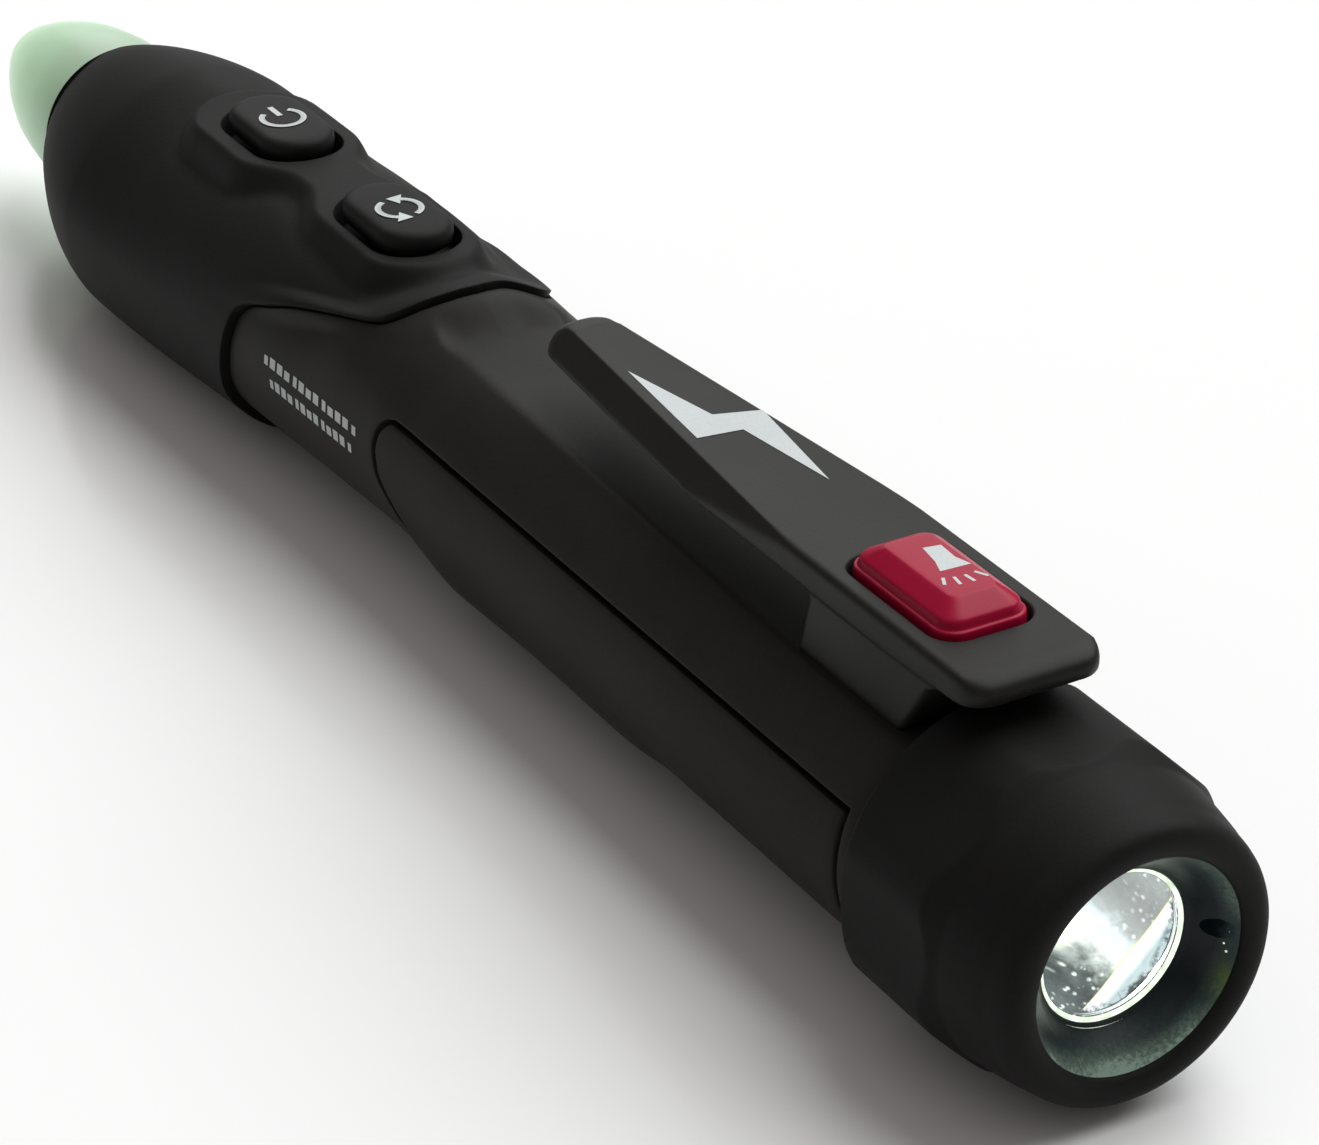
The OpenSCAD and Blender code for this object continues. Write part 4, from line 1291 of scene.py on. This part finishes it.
def build_funnel():
    """Funnel around the window with its small round hole, a few dust specks, two painted glints and the rims,
    which glow with painted light.
    """
    profile = [(WINDOW_X, 5.58), (3.5, 5.6), (3.36, 5.68), (3.28, 5.82), (3.0, 6.05), (2.6, 6.35),
               (2.2, 6.68), (1.8, 7.02), (1.4, 7.38), (1.0, 7.7), (0.75, 7.88), (0.6, 8.0), (0.62, 8.3),
               (3.6, 8.3), (WINDOW_X, 7.5)]
    funnel = lathe("torch_funnel_cone", profile, funnel_finish(), closed=True, smooth_angle=35)
    turns = [math.radians(15 * k) for k in range(24)]
    rows = []
    for x, r in ((0.9, 0.92), (1.7, 0.76), (1.95, 0.66), (3.2, 0.6)):
        rows.append([at(x, HOLE_Y + r * math.cos(t), HOLE_Z + r * math.sin(t)) for t in turns])
    cut_out(funnel, rings("funnel_hole", rows, finish("groove"), caps=True))
    shade(funnel, 35)
    specks = random.Random(7)
    # Painted glow for the window rim, the second rim and the glints
    painted_glow = rim_finish()
    parts = [funnel]
    for k in range(SPECKS):
        a = specks.uniform(110, 330)
        x = specks.uniform(0.9, 3.0)
        size = specks.uniform(0.03, 0.075)
        parts.append(dust_and_glint_speck("funnel_speck_%d" % k, on_cone(x, a), size, finish("print")))
    # Two glowing specks near the hole: painted glints
    for k, (x, a, size) in enumerate(((1.4, 188, 0.12), (1.2, 192, 0.14))):
        parts.append(dust_and_glint_speck("funnel_glint_%d" % k, on_cone(x, a), size, painted_glow))
    rim = [(3.66, 5.3), (3.55, 5.36), (3.46, 5.46), (3.44, 5.56), (3.5, 5.63), (3.7, 5.6),
           (WINDOW_X, 5.34)]
    parts.append(lathe("window_rim_ring", rim, painted_glow, closed=True))
    parts.append(rim_arc(painted_glow))
    funnel = join_pieces("torch_funnel", parts)
    dress(funnel, "cap", "bezel", "torch_bezel")


# Small ball for the dust specks and, with the glowing finish, the painted glints
def dust_and_glint_speck(name, place, radius, material):
    bm = bmesh.new()
    bmesh.ops.create_icosphere(bm, subdivisions=1, radius=radius * MM)
    bmesh.ops.translate(bm, verts=bm.verts, vec=place)
    return link_mesh(name, bm, material)


def rim_arc(material):
    """Thin second rim that shows beside the window, low on the near side, glowing with painted light."""
    turns = [math.radians(45 * k) for k in range(8)]
    rows = []
    for t in spread(0, 1, 60):
        r = 0.008 + 0.05 * math.sin(math.pi * t)
        rows.append([around(3.24 + r * math.cos(u), 5.92 + r * math.sin(u), -150 + 150 * t) for u in turns])
    return rings("window_rim_arc", rows, material, caps=True)


def build_torch():
    """Funnel, window, reflector bowl and emitter, which all ride on the cap."""
    build_funnel()
    disc = [(WINDOW_X, 0.0001), (3.7, 2.0), (3.7, 5.1), (3.74, 5.25), (4.0, 5.3), (4.6, 5.3), (4.7, 5.1),
            (4.7, 0.0001)]
    window = lathe("torch_window_disc", disc, window_finish())
    dress(window, "cap", "window", "torch_lens")
    wall = [(4.72, 5.58), (4.76, 5.5), (5.2, 5.25), (5.9, 4.85), (6.7, 4.35), (7.5, 3.8), (8.3, 3.2),
            (9.0, 2.6), (9.6, 2.05), (10.2, 1.75), (10.3, 2.6), (9.6, 4.0), (6.2, 6.2), (4.8, 6.3)]
    bowl = lathe("torch_reflector_bowl", wall, bowl_finish(), closed=True, smooth_angle=50)
    dress(bowl, "cap", "reflector", "torch_reflector")
    dome = [(10.3, 1.5), (9.75, 1.5), (9.7, 1.2), (9.3, 1.12), (8.95, 0.85), (8.7, 0.45), (8.62, 0.0001)]
    emitter = lathe("torch_emitter_dome", dome, emitter_finish(), columns=48)
    dress(emitter, "cap", "emitter", "torch_led")


class DETECTOR_OT_torch(bpy.types.Operator):
    """Build the torch: its funnel, window, reflector bowl and lit emitter"""

    bl_idname = "detector.torch"
    bl_label = "Torch"

    def execute(self, context):
        build_torch()
        return {"FINISHED"}


# Sensing tip

def tip_finish():
    """Milky translucent plastic, lit green from inside."""
    f = Finish("tip_glow")
    c = colours().glow
    cloud = f.noise(90, 3, 0.5)
    reach = f.depth(NOSE_X + 6, TIP_X)
    milk = [(0.0, (0.34, 0.42, 0.34)), (0.5, (0.46, 0.56, 0.46)), (1.0, (0.6, 0.7, 0.6))]
    f.feed("Base Color", f.ramp(reach, milk))
    glow = [(place, [v * share for v in c]) for place, share in ((0.0, 0.35), (0.4, 0.8), (1.0, 1.25))]
    f.feed("Emission Color", f.ramp(f.sum(reach, f.uneven(cloud, -0.08, 0.08)), glow))
    f.feed("Roughness", f.uneven(cloud, 0.3, 0.4))
    f.set(Emission_Strength=0.42, Subsurface_Weight=0.3, Subsurface_Scale=0.003, Transmission_Weight=0.2,
          IOR=1.45)
    f.bump(f.noise(2500), 0.000006)
    return f.material


def build_tip():
    """Dome of the tip, with a skirt inside the grip and a hollow for its lamp."""
    skirt = NOSE_X - 1.4
    dome = ((18, 7.48), (16, 7.44), (14, 7.22), (11.4, 6.84), (9, 6.24), (7, 5.62), (5, 4.86), (3.2, 4.08),
            (2.0, 3.52), (1.1, 2.95), (0.55, 2.4), (0.2, 1.75), (0.05, 0.95), (0, 0.0001))
    outside = [(skirt, 7.45)] + [(TIP_X - back, r) for back, r in dome]
    skin = [(x, along(outside, x)) for x in spread(skirt, TIP_X - 1.2, 44)] + outside[-5:]
    cavity = ((3, 0.0001), (3.3, 1.2), (6.8, 3.8), (11.4, 5.3), (16, 6.2))
    hollow = [(TIP_X - back, r) for back, r in cavity] + [(skirt, 6.2)]
    tip = lathe("sensing_tip", skin + hollow, tip_finish(), columns=96, closed=True)
    dress(tip, "case", "glow_tip", "probe_tip")


class DETECTOR_OT_tip(bpy.types.Operator):
    """Build the translucent sensing tip"""

    bl_idname = "detector.tip"
    bl_label = "Sensing tip"

    def execute(self, context):
        build_tip()
        return {"FINISHED"}


# Printed marks

BOLT_X = CLIP_END - 21.6
SYMBOL_R = 1.75
SYMBOL_LINE = 0.5
STROKE_OVERLAP = 0.02
RAY_LINE = 0.24
ARROW_L = 1.2
ARROW_HALF = 0.9
TICKS = 13


def face_out(bm, axis):
    """Turns every face so that it looks along the positive side of an axis."""
    bmesh.ops.recalc_face_normals(bm, faces=bm.faces)
    for face in bm.faces:
        if face.normal[axis] < 0:
            face.normal_flip()


def flat_print(name, outlines, place, height, body, slot):
    """Thin printed mark from closed outlines of (x, y) points around a place, just above a height."""
    bm = bmesh.new()
    lift = Vector((0, 0, sizes().print_height))
    for outline in outlines:
        bm.faces.new([bm.verts.new(at(place + x, y, height) + lift) for x, y in outline])
    bmesh.ops.triangulate(bm, faces=bm.faces)
    face_out(bm, 2)
    dress(link_mesh(name, bm, finish("print")), body, slot)


def stroke(points, width):
    """Outline pieces of a flat stroke along points, one quad for each step."""
    out = []
    for (x0, y0), (x1, y1) in zip(points, points[1:]):
        l = math.hypot(x1 - x0, y1 - y0) or 1
        nx = -(y1 - y0) / l * width / 2
        ny = (x1 - x0) / l * width / 2
        ex = (x1 - x0) / l * STROKE_OVERLAP
        ey = (y1 - y0) / l * STROKE_OVERLAP
        out.append([(x0 + nx - ex, y0 + ny - ey), (x1 + nx + ex, y1 + ny + ey),
                    (x1 - nx + ex, y1 - ny + ey), (x0 - nx - ex, y0 - ny - ey)])
    return out


def arc(start, end, n):
    """Points of an arc of a key's symbol."""
    turns = [math.radians(a) for a in spread(start, end, n)]
    return [(SYMBOL_R * math.cos(t), SYMBOL_R * math.sin(t)) for t in turns]


def arrow_head(a):
    """Triangle at the end of an arc of a key's symbol."""
    t = math.radians(a)
    x = SYMBOL_R * math.cos(t)
    y = SYMBOL_R * math.sin(t)
    ux = math.cos(t + math.pi / 2)
    uy = math.sin(t + math.pi / 2)
    return [(x + ux * ARROW_L, y + uy * ARROW_L), (x - uy * ARROW_HALF, y + ux * ARROW_HALF),
            (x + uy * ARROW_HALF, y - ux * ARROW_HALF)]


def build_torch_mark():
    """Torch with four rays on the red button."""
    torch = [[(2.4, -0.2), (2.15, -1.5), (0.3, -1.4), (0.45, 0.1)],
             [(0.45, 0.1), (0.3, -1.4), (-1.0, -1.8), (-0.85, 0.55)]]
    rays = (((-1.7, 0.9), (-2.5, 1.3)), ((-1.95, 0.2), (-2.95, 0.35)),
            ((-2.05, -0.6), (-3.05, -0.7)), ((-2.0, -1.4), (-2.9, -1.85)))
    for ray in rays:
        torch += stroke(ray, RAY_LINE)
    flat_print("torch_mark", torch, TORCH_X, BUTTON_TOP - 0.035, "torch_button", "red_plastic")


def build_prints():
    """Bolt on the clip, torch on the button, symbols on the keys and ticks on the side."""
    bolt = [[(10.9, 1.6), (1.8, -0.1), (-1.3, -0.8), (-0.8, 2.7)],
            [(1.8, -0.1), (0.6, -3.6), (-10.8, -2.0), (-1.3, -0.8)]]
    flat_print("bolt_mark", bolt, BOLT_X, CLIP_TOP, "case", "grey_plastic")
    build_torch_mark()
    key_print = KEY_TOP + 0.01
    power = stroke(arc(40, 320, 24), SYMBOL_LINE) + stroke([(0.5, 0), (2.5, 0)], SYMBOL_LINE)
    flat_print("power_mark", power, POWER_X - 0.3, key_print, "power_key", "soft_rubber")
    arrows = stroke(arc(25, 150, 12), SYMBOL_LINE) + stroke(arc(205, 330, 12), SYMBOL_LINE)
    arrows += [arrow_head(a) for a in (150, 330)]
    flat_print("mode_mark", arrows, MODE_X - 0.4, key_print, "mode_key", "soft_rubber")
    build_tick_rows()


def build_tick_rows():
    """Two rows of plain ticks on the side of the case."""
    bm = bmesh.new()
    lift = sizes().print_height / MM
    for top, foot, x0, x1 in ((1.75, 0.85, GRIP_X + 1.2, GRIP_X + 17.2),
                              (-0.05, -0.95, GRIP_X + 2.0, GRIP_X + 16.2)):
        for i in range(TICKS):
            a = mix(x0, x1, (i + 0.1) / TICKS)
            b = mix(x0, x1, (i + (0.82 if i % 4 else 0.6)) / TICKS)
            tall = top if i % 3 else top - 0.12
            corners = []
            for x, z in ((a, foot), (b, foot), (b, tall), (a, tall)):
                turn = math.degrees(math.asin(z / case_r(x, 0)))
                corners.append(bm.verts.new(on_case(x, turn, lift)))
            bm.faces.new(corners)
    face_out(bm, 1)
    dress(link_mesh("tick_rows", bm, finish("print")), "case", "grey_plastic")


class DETECTOR_OT_prints(bpy.types.Operator):
    """Print the bolt, the torch, power and mode marks and the plain tick rows"""

    bl_idname = "detector.prints"
    bl_label = "Printed marks"

    def execute(self, context):
        build_prints()
        return {"FINISHED"}


# Inner parts

INNER = {
    "steel": ["clip_screws", "cap_spring", "board_screws"],
    "dark": ["torch_switch", "mode_switch", "power_switch", "cap_insert", "cell_cradle", "control_chip",
             "buzzer"],
    "groove": ["cap_seal"],
    "board": ["led_board", "main_board"],
    "cell": ["cell_rear", "cell_front"],
    "brass": ["front_contact", "sense_plate"],
    "parts": ["board_parts"],
    "print": ["tip_light"],
}


class DETECTOR_OT_inside(bpy.types.Operator):
    """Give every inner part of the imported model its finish"""

    bl_idname = "detector.inside"
    bl_label = "Inner parts"

    def execute(self, context):
        for name, nodes in INNER.items():
            for node in nodes:
                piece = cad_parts[node]
                piece.data.materials.clear()
                piece.data.materials.append(finish(name))
        return {"FINISHED"}


# Stage

TABLE_HALF = 3.0
TABLE_DROP = 0.0001
DOME_LOW = 0.06
DOME_HIGH = 0.44
DOME_TINT = (1.0, 0.93, 0.91)
SOFT_WHITE = (0.975, 1.0, 1.0)

# Name, direction, energy and width in degrees of each sun
SUNS = (("overhead_soft", (0.06, -0.70, 1.0), 2.68, 58), ("back_soft", (0.78, -0.42, 0.52), 0.6, 45))

# Camera in metres, degrees and millimetres of lens
CAMERA_PLACE = (-0.26893, 0.14099, 0.16669)
CAMERA_TILT = 90 - 29.05
CAMERA_TURN = -120.33
CAMERA_LENS = 117.36
CAMERA_SENSOR = 36


def table_finish():
    f = Finish("table_white")
    cloud = f.noise(3, 2, 0.5)
    f.feed("Base Color", f.tone(cloud, (0.88, 0.88, 0.882), 0.004))
    f.feed("Roughness", f.uneven(cloud, 0.16, 0.2))
    f.set(Specular_IOR_Level=0.22)
    return f.material


def add_table():
    bm = bmesh.new()
    bmesh.ops.create_grid(bm, x_segments=8, y_segments=8, size=TABLE_HALF)
    table = link_mesh("table_top", bm, table_finish())
    table.location = (0, 0, -TABLE_DROP)


def add_sun(name, direction, energy, angle):
    sun = bpy.data.lights.new(name, "SUN")
    sun.energy = energy
    sun.angle = math.radians(angle)
    sun.color = SOFT_WHITE
    lamp = bpy.data.objects.new(name, sun)
    lamp.rotation_euler = Vector(direction).to_track_quat("Z", "Y").to_euler()
    bpy.context.scene.collection.objects.link(lamp)


def studio_dome(world):
    """Soft light from above that fades to a dark horizon."""
    nodes = world.node_tree.nodes
    links = world.node_tree.links
    coords = nodes.new("ShaderNodeTexCoord").outputs["Generated"]
    split = nodes.new("ShaderNodeSeparateXYZ")
    links.new(coords, split.inputs["Vector"])
    fade = nodes.new("ShaderNodeValToRGB")
    for element, (place, tone) in zip(fade.color_ramp.elements, ((0.0, DOME_LOW), (1.0, DOME_HIGH))):
        element.position = place
        element.color = (*[tone * share for share in DOME_TINT], 1)
    links.new(split.outputs["Z"], fade.inputs["Fac"])
    links.new(fade.outputs["Color"], nodes["Background"].inputs["Color"])
    nodes["Background"].inputs["Strength"].default_value = 1.0


def add_camera():
    cam = bpy.data.cameras.new("photo_view")
    cam.sensor_fit = "HORIZONTAL"
    cam.sensor_width = CAMERA_SENSOR
    cam.lens = CAMERA_LENS
    cam.clip_start = 0.01
    view = bpy.data.objects.new("photo_view", cam)
    view.location = CAMERA_PLACE
    view.rotation_euler = (math.radians(CAMERA_TILT), 0, math.radians(CAMERA_TURN))
    bpy.context.scene.collection.objects.link(view)
    return view


class DETECTOR_OT_stage(bpy.types.Operator):
    """Set the table, the soft studio light and the camera"""

    bl_idname = "detector.stage"
    bl_label = "Table, light and camera"

    def execute(self, context):
        scene = context.scene
        add_table()
        world = bpy.data.worlds.new("studio_white")
        scene.world = world
        world.use_nodes = True
        studio_dome(world)
        for sun in SUNS:
            add_sun(*sun)
        scene.camera = add_camera()
        scene.view_settings.view_transform = "Standard"
        return {"FINISHED"}


class DETECTOR_PT_panel(bpy.types.Panel):
    """Lists the pieces of the detector"""

    bl_label = "Voltage detector"
    bl_idname = "DETECTOR_PT_panel"
    bl_space_type = "VIEW_3D"
    bl_region_type = "UI"
    bl_category = "Detector"

    def draw(self, context):
        layout = self.layout
        for group in (context.scene.detector_sizes, context.scene.detector_colours):
            box = layout.box()
            for name in group.__annotations__:
                box.prop(group, name)
        for operator in PIECES:
            layout.operator(operator.bl_idname)


PIECES = (DETECTOR_OT_case, DETECTOR_OT_clip, DETECTOR_OT_grip, DETECTOR_OT_buttons, DETECTOR_OT_cap,
          DETECTOR_OT_torch, DETECTOR_OT_tip, DETECTOR_OT_prints, DETECTOR_OT_inside, DETECTOR_OT_stage)
CLASSES = (DetectorSizes, DetectorColours) + PIECES + (DETECTOR_PT_panel,)


def register():
    for cls in CLASSES:
        bpy.utils.register_class(cls)
    bpy.types.Scene.detector_sizes = bpy.props.PointerProperty(type=DetectorSizes)
    bpy.types.Scene.detector_colours = bpy.props.PointerProperty(type=DetectorColours)


def unregister():
    del bpy.types.Scene.detector_colours
    del bpy.types.Scene.detector_sizes
    for cls in reversed(CLASSES):
        bpy.utils.unregister_class(cls)


def main():
    register()
    bpy.ops.detector.case()
    bpy.ops.detector.clip()
    bpy.ops.detector.grip()
    bpy.ops.detector.buttons()
    bpy.ops.detector.cap()
    bpy.ops.detector.torch()
    bpy.ops.detector.tip()
    bpy.ops.detector.prints()
    bpy.ops.detector.inside()
    bpy.ops.detector.stage()


if __name__ == "__main__":
    main()
